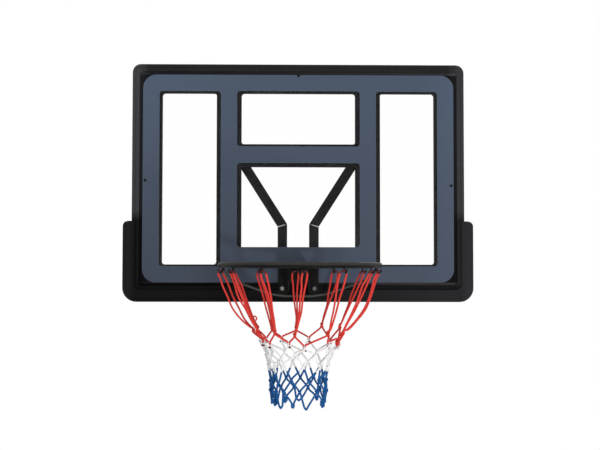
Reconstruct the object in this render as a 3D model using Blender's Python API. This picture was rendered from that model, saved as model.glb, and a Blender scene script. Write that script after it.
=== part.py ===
"""Basketball goal head: a clear board in a moulded frame, with a bumper, two hangers, a rim and a net.

Metres, +Z up. +Y points from the playing side to the post, and the ring stands out along -Y.
The origin is on the frame's flat back, midway between the four rim bolts, where the post bears.
"""

import bpy
import bmesh
from collections import namedtuple
from math import atan2, cos, pi, radians, sin, sqrt, tan
from mathutils import Vector

# Clearances, and how far cutters and joined solids reach past their faces
GAP = 0.0003
HOLE_CLEARANCE = 0.0005
NOTCH_CLEARANCE = 0.001
CUT_MARGIN = 0.01
JOIN_DEPTH = 0.001

# Moulded frame
FRAME_WIDTH = 1.044
FRAME_HEIGHT = 0.720
FRAME_DEPTH = 0.035
FRAME_CORNER_RADIUS = 0.026
FRAME_EDGE_RADIUS = 0.004
BORDER_WIDTH = 0.0235
BORDER_CHAMFER = 0.002
RECESS_DEPTH = 0.0055
RECESS_CORNER_RADIUS = 0.009
WEB_THICKNESS = 0.0035
WALL_THICKNESS = 0.0035
RIB_THICKNESS = 0.0028
RIB_PITCH = 0.088
POCKET_DRAFT = 0.985
BOLT_BOSS_WALL = 0.006
SCREW_BOSS_WALL = 0.0035
RIM_PAD_MARGIN = 0.0025
RIM_PAD_CORNER_RADIUS = 0.004
POST_PAD_WIDTH = 0.040
POST_PAD_HEIGHT = 0.060
POST_PAD_CORNER_RADIUS = 0.003

# Bands of the frame between its windows
OUTER_BAND = 0.0925
MULLION_WIDTH = 0.0775
CENTRE_WINDOW_WIDTH = 0.3594
TOP_BAND = 0.0889
CROSSBAR_HEIGHT = 0.0703
UPPER_WINDOW_HEIGHT = 0.1633
SIDE_SILL = 0.0894
CENTRE_SILL = 0.133
WINDOW_CORNER_RADIUS = 0.009

# Clear sheet, with the heights of its side screws above the frame's bottom edge
SHEET_THICKNESS = 0.003
SHEET_GAP = 0.0095
SHEET_BEVEL = 0.0005
SHEET_CORNER_RADIUS = 0.042
SHEET_SCREW_INSET = 0.008
SHEET_SCREW_RISES = {"left": 0.353, "right": 0.338}
TOP_SCREW_INSET = 0.003

# Edge bumper
BUMPER_RISE = 0.2253
BUMPER_OVERHANG = 0.0275
BUMPER_LIP = 0.011
BUMPER_LIP_THICKNESS = 0.005
BUMPER_LIP_CHAMFER = 0.0015
BUMPER_CORNER_RADIUS = 0.044
BUMPER_EDGE_RADIUS = 0.007
BUMPER_END_RADIUS = 0.016
BUMPER_GROOVE_INSET = 0.0105
BUMPER_GROOVE_DEPTH = 0.0012
BUMPER_SCREW_INSET = 0.0055
BUMPER_TOP_SCREW_DROP = 0.026
BUMPER_SIDE_SCREW_RISE = 0.065
BUMPER_LOW_SCREW_SPACING = 0.626

# Rim bolts, with the height of the lower two above the frame's bottom edge
BOLT_SPACING_X = 0.100
BOLT_SPACING_Z = 0.0694
BOLT_RISE = 0.0148
BOLT_DIAMETER = 0.008
BOLT_HEAD_ACROSS = 0.013
BOLT_HEAD_HEIGHT = 0.0053
BOLT_TAIL = 0.004
WASHER_DIAMETER = 0.016
WASHER_THICKNESS = 0.0016
NUT_HEIGHT = 0.0065

# Rim bracket, with its margins round the bolts
BRACKET_SIDE_MARGIN = 0.013
BRACKET_TOP_MARGIN = 0.0078
BRACKET_BOTTOM_MARGIN = 0.0313
BRACKET_THICKNESS = 0.003
BRACKET_BEND_RADIUS = 0.0045
BRACKET_CORNER_RADIUS = 0.008
CHANNEL_MARGIN = 0.0175
CHANNEL_NOSE_HEIGHT = 0.052
CHANNEL_NOSE_DEPTH = 0.012
CHANNEL_FOOT_CLEARANCE = 0.0015

# Ring, brace and hooks
RING_DIAMETER = 0.450
RING_TUBE_DIAMETER = 0.016
RING_STANDOFF = 0.098
RING_DROP = 0.0073
BRACE_DIAMETER = 0.008
BRACE_BEND_RADIUS = 0.020
BRACE_FOOT_ANGLE = 77.0
BRACE_KNEE_ANGLE = 60.5
BRACE_KNEE_OUTSET = 0.0105
BRACE_KNEE_DROP = 0.0402
BRACE_HIP_OUTSET = 0.019
BRACE_HIP_RISE = 0.0055
BRACE_FLAT_OUTSET = 0.0075
BRACE_FLAT_RISE = 0.008
HOOK_COUNT = 12
HOOK_START = 1.7
HOOK_WIRE = 0.004
HOOK_ROOM = 0.00195
HOOK_SHANK = 0.0065
HOOK_TIP = 0.004

# Net: drop below the ring and radius of each row of knots, from the top row to the tips
NET_CORD = 0.0045
KNOT_CROWN = 1.7
RED_ROWS = ((0.1917, 0.127), (0.2197, 0.106))
WHITE_ROWS = ((0.2542, 0.094), (0.2867, 0.0845))
BLUE_ROWS = ((0.3227, 0.080), (0.3572, 0.079), (0.4032, 0.0775))
NET_ROWS = RED_ROWS + WHITE_ROWS + BLUE_ROWS
NET_BLUE_START = 0.62
NET_SPLICE = 0.015
NET_TWIST = 7.0
NET_LOOP_HALF_WIDTH = 0.0085
NET_LOOP_BULGE = 0.017
# Shares up a loop's side, with its share of the half width and of the bulge there
NET_LOOP_SHAPE = (
    (0.10, 0.34, 0.60),
    (0.22, 0.50, 1.00),
    (0.42, 0.72, 0.85),
    (0.62, 0.90, 0.60),
    (0.80, 1.00, 0.32),
    (0.93, 0.85, 0.08),
)

# Bent angle hangers, with the place of the top screw on the crossing of mullion and crossbar
ANGLE_WIDTH = 0.030
ANGLE_THICKNESS = 0.003
HANGER_BEND_HEIGHT = 0.1681
HANGER_BEND_RADIUS = 0.014
HANGER_BOTTOM_MARGIN = 0.0125
HANGER_SLOT_WIDTH = 0.0016
HANGER_SLOT_ROOT = 0.0054
HANGER_SCREW_INSET = 0.0315
HANGER_SCREW_DROP = 0.001
HANGER_SCREW_MARGIN = 0.016
HANGER_SCREW_SPACING = 0.055
POST_HOLE_DIAMETER = 0.011
POST_HOLE_HEIGHTS = (0.0, 0.100)

# Small screws: diameters of shank and head, height of the head, length under it
Screw = namedtuple("Screw", "shank head height length")
SHEET_SCREW = Screw(shank=0.004, head=0.009, height=0.0022, length=0.014)
BUMPER_SCREW = Screw(shank=0.0032, head=0.0068, height=0.0020, length=0.014)
HANGER_SCREW = Screw(shank=0.0055, head=0.0125, height=0.0040, length=0.020)

# Places worked out from the sizes above
HALF_WIDTH = FRAME_WIDTH / 2
FRAME_BOTTOM = -BOLT_SPACING_Z / 2 - BOLT_RISE
FRAME_TOP = FRAME_BOTTOM + FRAME_HEIGHT
RECESS_FLOOR = RECESS_DEPTH - FRAME_DEPTH
POCKET_FLOOR = RECESS_FLOOR + WEB_THICKNESS
SHEET_BACK = RECESS_FLOOR - GAP
SHEET_FRONT = SHEET_BACK - SHEET_THICKNESS
SHEET_INSET = BORDER_WIDTH + SHEET_GAP
SHEET_HALF_WIDTH = HALF_WIDTH - SHEET_INSET
SHEET_BOTTOM = FRAME_BOTTOM + SHEET_INSET
SHEET_TOP = FRAME_TOP - SHEET_INSET
MULLION_INNER = CENTRE_WINDOW_WIDTH / 2
MULLION_OUTER = MULLION_INNER + MULLION_WIDTH
SIDE_WINDOW_EDGE = HALF_WIDTH - OUTER_BAND
WINDOW_TOP = FRAME_TOP - TOP_BAND
CROSSBAR_TOP = WINDOW_TOP - UPPER_WINDOW_HEIGHT
CROSSBAR_BOTTOM = CROSSBAR_TOP - CROSSBAR_HEIGHT
CENTRE_SILL_TOP = FRAME_BOTTOM + CENTRE_SILL
SIDE_SILL_TOP = FRAME_BOTTOM + SIDE_SILL
BUMPER_FRONT = -FRAME_DEPTH - BUMPER_LIP_THICKNESS
BUMPER_TOP = FRAME_BOTTOM + BUMPER_RISE
BRACKET_HALF_WIDTH = BOLT_SPACING_X / 2 + BRACKET_SIDE_MARGIN
BRACKET_TOP = BOLT_SPACING_Z / 2 + BRACKET_TOP_MARGIN
BRACKET_BOTTOM = -BOLT_SPACING_Z / 2 - BRACKET_BOTTOM_MARGIN
CHANNEL_HALF_WIDTH = BOLT_SPACING_X / 2 - CHANNEL_MARGIN
RIM_PAD_FRONT = BUMPER_FRONT - GAP
RIM_PAD_HALF_WIDTH = BRACKET_HALF_WIDTH - RIM_PAD_MARGIN
RIM_PAD_TOP = BRACKET_TOP - RIM_PAD_MARGIN
BRACKET_BACK = RIM_PAD_FRONT - GAP
BRACKET_FRONT = BRACKET_BACK - BRACKET_THICKNESS
RING_RADIUS = RING_DIAMETER / 2
RING_TUBE = RING_TUBE_DIAMETER / 2
RING_BACK = -FRAME_DEPTH - RING_STANDOFF
RING_CENTRE = Vector((0, RING_BACK - RING_TUBE - RING_RADIUS, BRACKET_TOP - RING_DROP))
NOSE_FRONT = RING_BACK + GAP
BRACE_RADIUS = BRACE_DIAMETER / 2
BRACE_FLAT_Y = BRACKET_FRONT - GAP - BRACE_RADIUS
BRACE_FLAT_Z = BRACKET_BOTTOM + BRACE_FLAT_RISE
HOOK_RADIUS = (HOOK_WIRE + NET_CORD) / 2 + HOOK_ROOM
HOOK_SHANK_INSET = min(HOOK_RADIUS, 0.8 * RING_TUBE)
HOOK_BEND = -RING_TUBE - GAP - HOOK_SHANK
HANGER_BACK = GAP + ANGLE_THICKNESS
HANGER_INNER = (BOLT_SPACING_X - ANGLE_WIDTH) / 2
BOLT_PLACES = [
    (side * BOLT_SPACING_X / 2, level * BOLT_SPACING_Z / 2)
    for level in (1, -1)
    for side in (-1, 1)
]


def material(name, colour, roughness, metallic=0.0, alpha=1.0):
    """A Principled material of one colour."""
    made = bpy.data.materials.new(name)
    made.use_nodes = True
    shader = made.node_tree.nodes["Principled BSDF"]
    shader.inputs["Base Color"].default_value = (*colour, 1)
    shader.inputs["Roughness"].default_value = roughness
    shader.inputs["Metallic"].default_value = metallic
    shader.inputs["Alpha"].default_value = alpha
    made.diffuse_color = (*colour, alpha)
    return made


def make_mesh(name, bm, finish, smooth_angle=35.0):
    """Turn a bmesh into a smooth-shaded mesh with outward faces."""
    bmesh.ops.recalc_face_normals(bm, faces=bm.faces)
    mesh = bpy.data.meshes.new(name)
    bm.to_mesh(mesh)
    bm.free()
    mesh.shade_smooth()
    mesh.set_sharp_from_angle(angle=radians(smooth_angle))
    if finish is not None:
        mesh.materials.append(finish)
    return mesh


def place(name, data, location=(0, 0, 0), turn=0.0, parent=None):
    """A named object with this mesh or curve, turned about Z by an angle in radians."""
    made = bpy.data.objects.new(name, data)
    made.location = location
    made.rotation_euler = (0, 0, turn)
    made.parent = parent
    bpy.context.collection.objects.link(made)
    return made


def add_object(name, bm, finish, **where):
    return place(name, make_mesh(name, bm, finish), **where)


def add_cutter(name, bm):
    """A solid that only cuts or joins others and is never drawn."""
    made = add_object(name, bm, None)
    made.hide_render = True
    made.display_type = "WIRE"
    return made


def boolean(target, tool, operation):
    """Add a live Boolean modifier."""
    step = target.modifiers.new(tool.name, "BOOLEAN")
    step.operation = operation
    step.solver = "EXACT"
    step.object = tool


def loft(bm, loops, closed=False):
    """Skin loops that have the same number of points; cap the two ends, or join them when closed."""
    rows = [[bm.verts.new(point) for point in loop] for loop in loops]
    pairs = list(zip(rows, rows[1:]))
    if closed:
        pairs.append((rows[-1], rows[0]))
    else:
        bm.faces.new(rows[0])
        bm.faces.new(rows[-1])
    for first, second in pairs:
        for i in range(len(first)):
            j = (i + 1) % len(first)
            bm.faces.new((first[i], first[j], second[j], second[i]))


def prism(bm, outline, low, high, axis):
    """Extrude an outline of two coordinates along the axis that it leaves out."""
    def place(point, depth):
        first, second = point
        return {"X": (depth, first, second), "Y": (first, depth, second), "Z": (first, second, depth)}[axis]
    loft(bm, [[place(p, low) for p in outline], [place(p, high) for p in outline]])


def arc(centre, radius, start, end, steps):
    """Points of a circular arc, both ends included; angles in radians."""
    return [
        (centre[0] + radius * cos(start + (end - start) * i / steps),
         centre[1] + radius * sin(start + (end - start) * i / steps))
        for i in range(steps + 1)
    ]


def rounded_box(x0, x1, z0, z1, radius, steps=6):
    """Outline of a rectangle with round corners, anticlockwise."""
    corners = (
        (x1 - radius, z1 - radius, 0.0),
        (x0 + radius, z1 - radius, pi / 2),
        (x0 + radius, z0 + radius, pi),
        (x1 - radius, z0 + radius, 3 * pi / 2),
    )
    return [p for x, z, turn in corners for p in arc((x, z), radius, turn, turn + pi / 2, steps)]


def rounded_path(points, radius, steps):
    """A polyline whose inner corners are replaced by arcs of the given radius."""
    made = [Vector(points[0])]
    for before, corner, after in zip(points, points[1:], points[2:]):
        before, corner, after = Vector(before), Vector(corner), Vector(after)
        back = (before - corner).normalized()
        ahead = (after - corner).normalized()
        half = back.angle(ahead) / 2
        centre = corner + (back + ahead).normalized() * (radius / sin(half))
        first = corner + back * (radius / tan(half)) - centre
        last = corner + ahead * (radius / tan(half)) - centre
        made += [centre + first.slerp(last, i / steps, first).normalized() * radius for i in range(steps + 1)]
    return made + [Vector(points[-1])]


def strip(path, thickness):
    """Outline of a bent strip whose middle line is the path."""
    left, right = [], []
    for i, point in enumerate(path):
        ways = []
        if i > 0:
            ways.append((point - path[i - 1]).normalized())
        if i + 1 < len(path):
            ways.append((path[i + 1] - point).normalized())
        way = sum(ways, Vector((0, 0))).normalized()
        reach = thickness / 2 / way.dot(ways[0])
        side = Vector((-way.y, way.x)) * reach
        left.append(tuple(point + side))
        right.append(tuple(point - side))
    return left + right[::-1]


def circle_loop(radius, count, turn=0.0):
    return [(radius * cos(2 * pi * i / count + turn), radius * sin(2 * pi * i / count + turn))
            for i in range(count)]


def hexagon_loop(across, count):
    """Points spread round a hexagon that measures the given size across its flats."""
    points = []
    for i in range(count):
        angle = 2 * pi * i / count
        from_flat = (angle + pi / 6) % (pi / 3) - pi / 6
        reach = across / 2 / cos(from_flat)
        points.append((reach * cos(angle), reach * sin(angle)))
    return points


def turned(name, rings, finish, closed=False):
    """A mesh lofted along Y through loops of X and Z, each at its own Y."""
    bm = bmesh.new()
    loft(bm, [[(a, y, b) for a, b in loop] for loop, y in rings], closed)
    return make_mesh(name, bm, finish)


def round_prism(bm, x, z, radius, low, high, count=12):
    """A cylinder along Y, which joins a boss or cuts a hole."""
    prism(bm, [(x + a, z + b) for a, b in circle_loop(radius, count)], low, high, "Y")


# Moulded frame

def frame_outline(inset, radius):
    half = HALF_WIDTH - inset
    return rounded_box(-half, half, FRAME_BOTTOM + inset, FRAME_TOP - inset, radius)


def windows():
    """The four openings as x0, x1, z0, z1."""
    return {
        "left": (-SIDE_WINDOW_EDGE, -MULLION_OUTER, SIDE_SILL_TOP, WINDOW_TOP),
        "right": (MULLION_OUTER, SIDE_WINDOW_EDGE, SIDE_SILL_TOP, WINDOW_TOP),
        "upper": (-MULLION_INNER, MULLION_INNER, CROSSBAR_TOP, WINDOW_TOP),
        "lower": (-MULLION_INNER, MULLION_INNER, CENTRE_SILL_TOP, CROSSBAR_BOTTOM),
    }


def pocket_fields():
    """The bands behind the sheet that hold the ribbed pockets, as x0, x1, z0, z1."""
    rim_side = RIM_PAD_HALF_WIDTH + WALL_THICKNESS
    fields = [
        (-HALF_WIDTH, HALF_WIDTH, WINDOW_TOP, FRAME_TOP),
        (-MULLION_INNER, MULLION_INNER, CROSSBAR_BOTTOM, CROSSBAR_TOP),
        (-rim_side, rim_side, FRAME_BOTTOM, CENTRE_SILL_TOP),
    ]
    for x0, x1, z0, z1 in (
        (SIDE_WINDOW_EDGE, HALF_WIDTH, SIDE_SILL_TOP, WINDOW_TOP),
        (MULLION_OUTER, HALF_WIDTH, FRAME_BOTTOM, SIDE_SILL_TOP),
        (MULLION_INNER, MULLION_OUTER, FRAME_BOTTOM, CENTRE_SILL_TOP),
        (MULLION_INNER, MULLION_OUTER, CENTRE_SILL_TOP, WINDOW_TOP),
        (rim_side, MULLION_INNER, FRAME_BOTTOM, CENTRE_SILL_TOP),
    ):
        fields += [(x0, x1, z0, z1), (-x1, -x0, z0, z1)]
    return fields


def pocket_pair(bm, x0, x1, z0, z1, rising):
    """Two three-sided pockets, one on each side of a diagonal rib."""
    width, height = x1 - x0, z1 - z0
    slope = atan2(height, width)
    shift_x = RIB_THICKNESS / 2 / sin(slope)
    shift_z = RIB_THICKNESS / 2 / cos(slope)
    lower = [(x0 + shift_x, z0), (x1, z0), (x1, z1 - shift_z)]
    upper = [(x0, z0 + shift_z), (x1 - shift_x, z1), (x0, z1)]
    for outline in (lower, upper):
        if not rising:
            outline = [(x0 + x1 - x, z) for x, z in outline]
        middle = [sum(p[i] for p in outline) / 3 for i in (0, 1)]
        floor = [tuple(m + (c - m) * POCKET_DRAFT for c, m in zip(p, middle)) for p in outline]
        loft(bm, [[(x, POCKET_FLOOR, z) for x, z in floor], [(x, CUT_MARGIN, z) for x, z in outline]])


def make_pockets():
    bm = bmesh.new()
    edge = WALL_THICKNESS
    for x0, x1, z0, z1 in pocket_fields():
        x0, x1, z0, z1 = x0 + edge, x1 - edge, z0 + edge, z1 - edge
        columns = max(1, round((x1 - x0) / RIB_PITCH))
        rows = max(1, round((z1 - z0) / RIB_PITCH))
        step_x = (x1 - x0 + RIB_THICKNESS) / columns
        step_z = (z1 - z0 + RIB_THICKNESS) / rows
        for i in range(columns):
            for j in range(rows):
                left, low = x0 + i * step_x, z0 + j * step_z
                right, high = left + step_x - RIB_THICKNESS, low + step_z - RIB_THICKNESS
                mirrored = left + right < 0
                rising = ((i + j) % 2 == 0) != mirrored
                pocket_pair(bm, left, right, low, high, rising)
    pockets = add_cutter("frame_pockets", bm)
    bm = bmesh.new()
    outline = frame_outline(WALL_THICKNESS, FRAME_CORNER_RADIUS - WALL_THICKNESS)
    prism(bm, outline, -FRAME_DEPTH, 2 * CUT_MARGIN, "Y")
    inside = add_cutter("frame_inside", bm)
    boolean(pockets, inside, "INTERSECT")
    return pockets


def fastener_holes():
    """Every hole in the frame: x, z, boss radius, hole radius, and where the hole starts and ends."""
    through = (-FRAME_DEPTH - CUT_MARGIN, CUT_MARGIN)
    sheet_depth = (SHEET_FRONT, SHEET_FRONT + SHEET_SCREW.length + GAP)
    bumper_depth = (BUMPER_LIP_THICKNESS - BUMPER_SCREW.length - GAP, CUT_MARGIN)
    hanger_depth = (HANGER_BACK - HANGER_SCREW.length - GAP, CUT_MARGIN)
    bolt = BOLT_DIAMETER / 2
    holes = [(x, z, bolt + BOLT_BOSS_WALL, bolt + HOLE_CLEARANCE, through) for x, z in BOLT_PLACES]
    for places, size, wall, depth in (
        (sheet_screw_places().values(), SHEET_SCREW, SCREW_BOSS_WALL, sheet_depth),
        (bumper_screw_places(), BUMPER_SCREW, SCREW_BOSS_WALL, bumper_depth),
        (hanger_screw_places(), HANGER_SCREW, BOLT_BOSS_WALL, hanger_depth),
    ):
        shank = size.shank / 2
        holes += [(x, z, shank + wall, shank + GAP, depth) for x, z in places]
    return holes


def make_frame(finish):
    bm = bmesh.new()
    loops = [[(x, 0.0, z) for x, z in frame_outline(0, FRAME_CORNER_RADIUS)]]
    for i in range(4):
        turn = pi / 2 * i / 3
        inset = FRAME_EDGE_RADIUS * (1 - cos(turn))
        depth = -FRAME_DEPTH + FRAME_EDGE_RADIUS * (1 - sin(turn))
        loops.append([(x, depth, z) for x, z in frame_outline(inset, FRAME_CORNER_RADIUS - inset)])
    loft(bm, loops)
    frame = add_object("board_frame", bm, finish)

    bm = bmesh.new()
    recess = [
        (RECESS_FLOOR, 0.0),
        (-FRAME_DEPTH + BORDER_CHAMFER, 0.0),
        (-FRAME_DEPTH - BORDER_CHAMFER, -2 * BORDER_CHAMFER),
    ]
    loft(bm, [
        [(x, y, z) for x, z in frame_outline(BORDER_WIDTH + inset, RECESS_CORNER_RADIUS - inset)]
        for y, inset in recess
    ])
    boolean(frame, add_cutter("frame_recess", bm), "DIFFERENCE")

    bm = bmesh.new()
    for x0, x1, z0, z1 in windows().values():
        outline = rounded_box(x0, x1, z0, z1, WINDOW_CORNER_RADIUS, 5)
        prism(bm, outline, -FRAME_DEPTH - CUT_MARGIN, CUT_MARGIN, "Y")
    boolean(frame, add_cutter("frame_windows", bm), "DIFFERENCE")
    boolean(frame, make_pockets(), "DIFFERENCE")

    bm = bmesh.new()
    for x, z, boss, hole, depth in fastener_holes():
        round_prism(bm, x, z, boss, POCKET_FLOOR - JOIN_DEPTH, 0.0, 14)
    boolean(frame, add_cutter("frame_bosses", bm), "UNION")

    bm = bmesh.new()
    pad = rounded_box(-RIM_PAD_HALF_WIDTH, RIM_PAD_HALF_WIDTH, FRAME_BOTTOM, RIM_PAD_TOP,
                      RIM_PAD_CORNER_RADIUS, 3)
    prism(bm, pad, RIM_PAD_FRONT, RECESS_FLOOR + JOIN_DEPTH, "Y")
    boolean(frame, add_cutter("frame_rim_pad", bm), "UNION")

    bm = bmesh.new()
    half_width, half_height = POST_PAD_WIDTH / 2, POST_PAD_HEIGHT / 2
    pad = rounded_box(-half_width, half_width, -half_height, half_height, POST_PAD_CORNER_RADIUS, 2)
    prism(bm, pad, POCKET_FLOOR - JOIN_DEPTH, 0.0, "Y")
    boolean(frame, add_cutter("frame_post_pad", bm), "UNION")

    bm = bmesh.new()
    for x, z, boss, hole, depth in fastener_holes():
        round_prism(bm, x, z, hole, *depth)
    boolean(frame, add_cutter("frame_holes", bm), "DIFFERENCE")
    return frame


# Clear sheet

def sheet_screw_places():
    side = SHEET_HALF_WIDTH - SHEET_SCREW_INSET
    return {
        "left": (-side, FRAME_BOTTOM + SHEET_SCREW_RISES["left"]),
        "right": (side, FRAME_BOTTOM + SHEET_SCREW_RISES["right"]),
        "top": (0.0, SHEET_TOP - TOP_SCREW_INSET),
    }


def make_sheet(finish):
    bm = bmesh.new()
    loops = []
    for y, inset in ((SHEET_BACK, 0.0), (SHEET_FRONT + SHEET_BEVEL, 0.0), (SHEET_FRONT, SHEET_BEVEL)):
        half = SHEET_HALF_WIDTH - inset
        outline = rounded_box(-half, half, SHEET_BOTTOM + inset, SHEET_TOP - inset,
                              SHEET_CORNER_RADIUS - inset, 8)
        loops.append([(x, y, z) for x, z in outline])
    loft(bm, loops)
    sheet = add_object("clear_sheet", bm, finish)

    front, back = SHEET_FRONT - CUT_MARGIN, SHEET_BACK + CUT_MARGIN
    hole = SHEET_SCREW.shank / 2 + HOLE_CLEARANCE
    bm = bmesh.new()
    half = RIM_PAD_HALF_WIDTH + NOTCH_CLEARANCE
    notch = rounded_box(-half, half, FRAME_BOTTOM, RIM_PAD_TOP + NOTCH_CLEARANCE, RIM_PAD_CORNER_RADIUS, 3)
    prism(bm, notch, front, back, "Y")
    for x, z in sheet_screw_places().values():
        round_prism(bm, x, z, hole, front, back)
    boolean(sheet, add_cutter("sheet_cuts", bm), "DIFFERENCE")

    bm = bmesh.new()
    x, z = sheet_screw_places()["top"]
    edge = SHEET_TOP + CUT_MARGIN
    prism(bm, [(x - hole, z), (x + hole, z), (x + hole, edge), (x - hole, edge)], front, back, "Y")
    boolean(sheet, add_cutter("sheet_top_slot", bm), "DIFFERENCE")
    return sheet


# Edge bumper

def bumper_section(overhang):
    """Points of the C section: distance out from the frame's edge, and depth."""
    front, back = BUMPER_FRONT, BUMPER_LIP_THICKNESS
    groove = overhang - BUMPER_GROOVE_INSET
    radius = min(BUMPER_EDGE_RADIUS, overhang / 2)
    section = [
        (-BUMPER_LIP, -FRAME_DEPTH - GAP),
        (-BUMPER_LIP, front + BUMPER_LIP_CHAMFER),
        (-BUMPER_LIP + BUMPER_LIP_CHAMFER, front),
        (groove - BUMPER_GROOVE_DEPTH, front),
        (groove, front + BUMPER_GROOVE_DEPTH),
        (groove + BUMPER_GROOVE_DEPTH, front),
    ]
    section += arc((overhang - radius, front + radius), radius, -pi / 2, 0, 4)
    section += arc((overhang - radius, back - radius), radius, 0, pi / 2, 3)
    section += [(-BUMPER_LIP, back), (-BUMPER_LIP, GAP), (GAP, GAP), (GAP, -FRAME_DEPTH - GAP)]
    return section


def bumper_corner(distance, steps):
    """The round corner of the U at this distance out from the frame."""
    share = distance / BUMPER_OVERHANG
    radius = FRAME_CORNER_RADIUS + share * (BUMPER_CORNER_RADIUS - FRAME_CORNER_RADIUS)
    x, z = HALF_WIDTH + distance, FRAME_BOTTOM - distance
    return arc((x - radius, z + radius), radius, 0, -pi / 2, steps)


def make_bumper(finish):
    end, corner_steps = BUMPER_END_RADIUS, 8
    stations = []
    for drop in [end * share for share in (0.0, 0.12, 0.35, 0.65, 1.0)]:
        overhang = BUMPER_OVERHANG - end + sqrt(end ** 2 - (end - drop) ** 2)
        stations.append([(HALF_WIDTH + d, y, BUMPER_TOP - drop) for d, y in bumper_section(overhang)])
    corners = [(bumper_corner(d, corner_steps), y) for d, y in bumper_section(BUMPER_OVERHANG)]
    stations += [[(points[i][0], y, points[i][1]) for points, y in corners] for i in range(corner_steps + 1)]
    left = [[(-x, y, z) for x, y, z in station] for station in reversed(stations)]
    bm = bmesh.new()
    loft(bm, stations + left)
    bumper = add_object("edge_bumper", bm, finish)

    bm = bmesh.new()
    for half, front, back in (
        (RIM_PAD_HALF_WIDTH + NOTCH_CLEARANCE, BUMPER_FRONT - CUT_MARGIN, -FRAME_DEPTH / 2),
        (HANGER_INNER + ANGLE_WIDTH + NOTCH_CLEARANCE, -FRAME_DEPTH / 4, BUMPER_LIP_THICKNESS + CUT_MARGIN),
    ):
        low = FRAME_BOTTOM - GAP
        prism(bm, [(-half, low), (half, low), (half, 0.0), (-half, 0.0)], front, back, "Y")
    for x, z in bumper_screw_places():
        hole = BUMPER_SCREW.shank / 2 + HOLE_CLEARANCE
        round_prism(bm, x, z, hole, -FRAME_DEPTH / 4, BUMPER_LIP_THICKNESS + CUT_MARGIN)
    boolean(bumper, add_cutter("bumper_cuts", bm), "DIFFERENCE")
    return bumper


def bumper_screw_places():
    side = HALF_WIDTH - BUMPER_SCREW_INSET
    places = (
        (side, BUMPER_TOP - BUMPER_TOP_SCREW_DROP),
        (side, FRAME_BOTTOM + BUMPER_SIDE_SCREW_RISE),
        (BUMPER_LOW_SCREW_SPACING / 2, FRAME_BOTTOM + BUMPER_SCREW_INSET),
    )
    return [(turn * x, z) for x, z in places for turn in (-1, 1)]


# Bent angle hangers

def hanger_splay():
    """Turn of the upper leg that takes its middle line through the top screw, and how far up that is."""
    screw = Vector((MULLION_INNER + HANGER_SCREW_INSET, CROSSBAR_TOP - HANGER_SCREW_DROP))
    reach = screw - Vector((HANGER_INNER, HANGER_BEND_HEIGHT))
    along = sqrt(reach.length_squared - (ANGLE_WIDTH / 2) ** 2)
    return atan2(reach.x, reach.y) - atan2(ANGLE_WIDTH / 2, along), along


def hanger_point(along, across):
    """A point on the right hanger's upper leg, up from the bend and out from its inner edge."""
    splay = hanger_splay()[0]
    return (
        HANGER_INNER + along * sin(splay) + across * cos(splay),
        HANGER_BEND_HEIGHT + along * cos(splay) - across * sin(splay),
    )


def hanger_screw_places():
    top = hanger_splay()[1]
    places = [hanger_point(along, ANGLE_WIDTH / 2) for along in (top, top - HANGER_SCREW_SPACING)]
    return [(side * x, z) for side in (-1, 1) for x, z in places]


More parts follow.
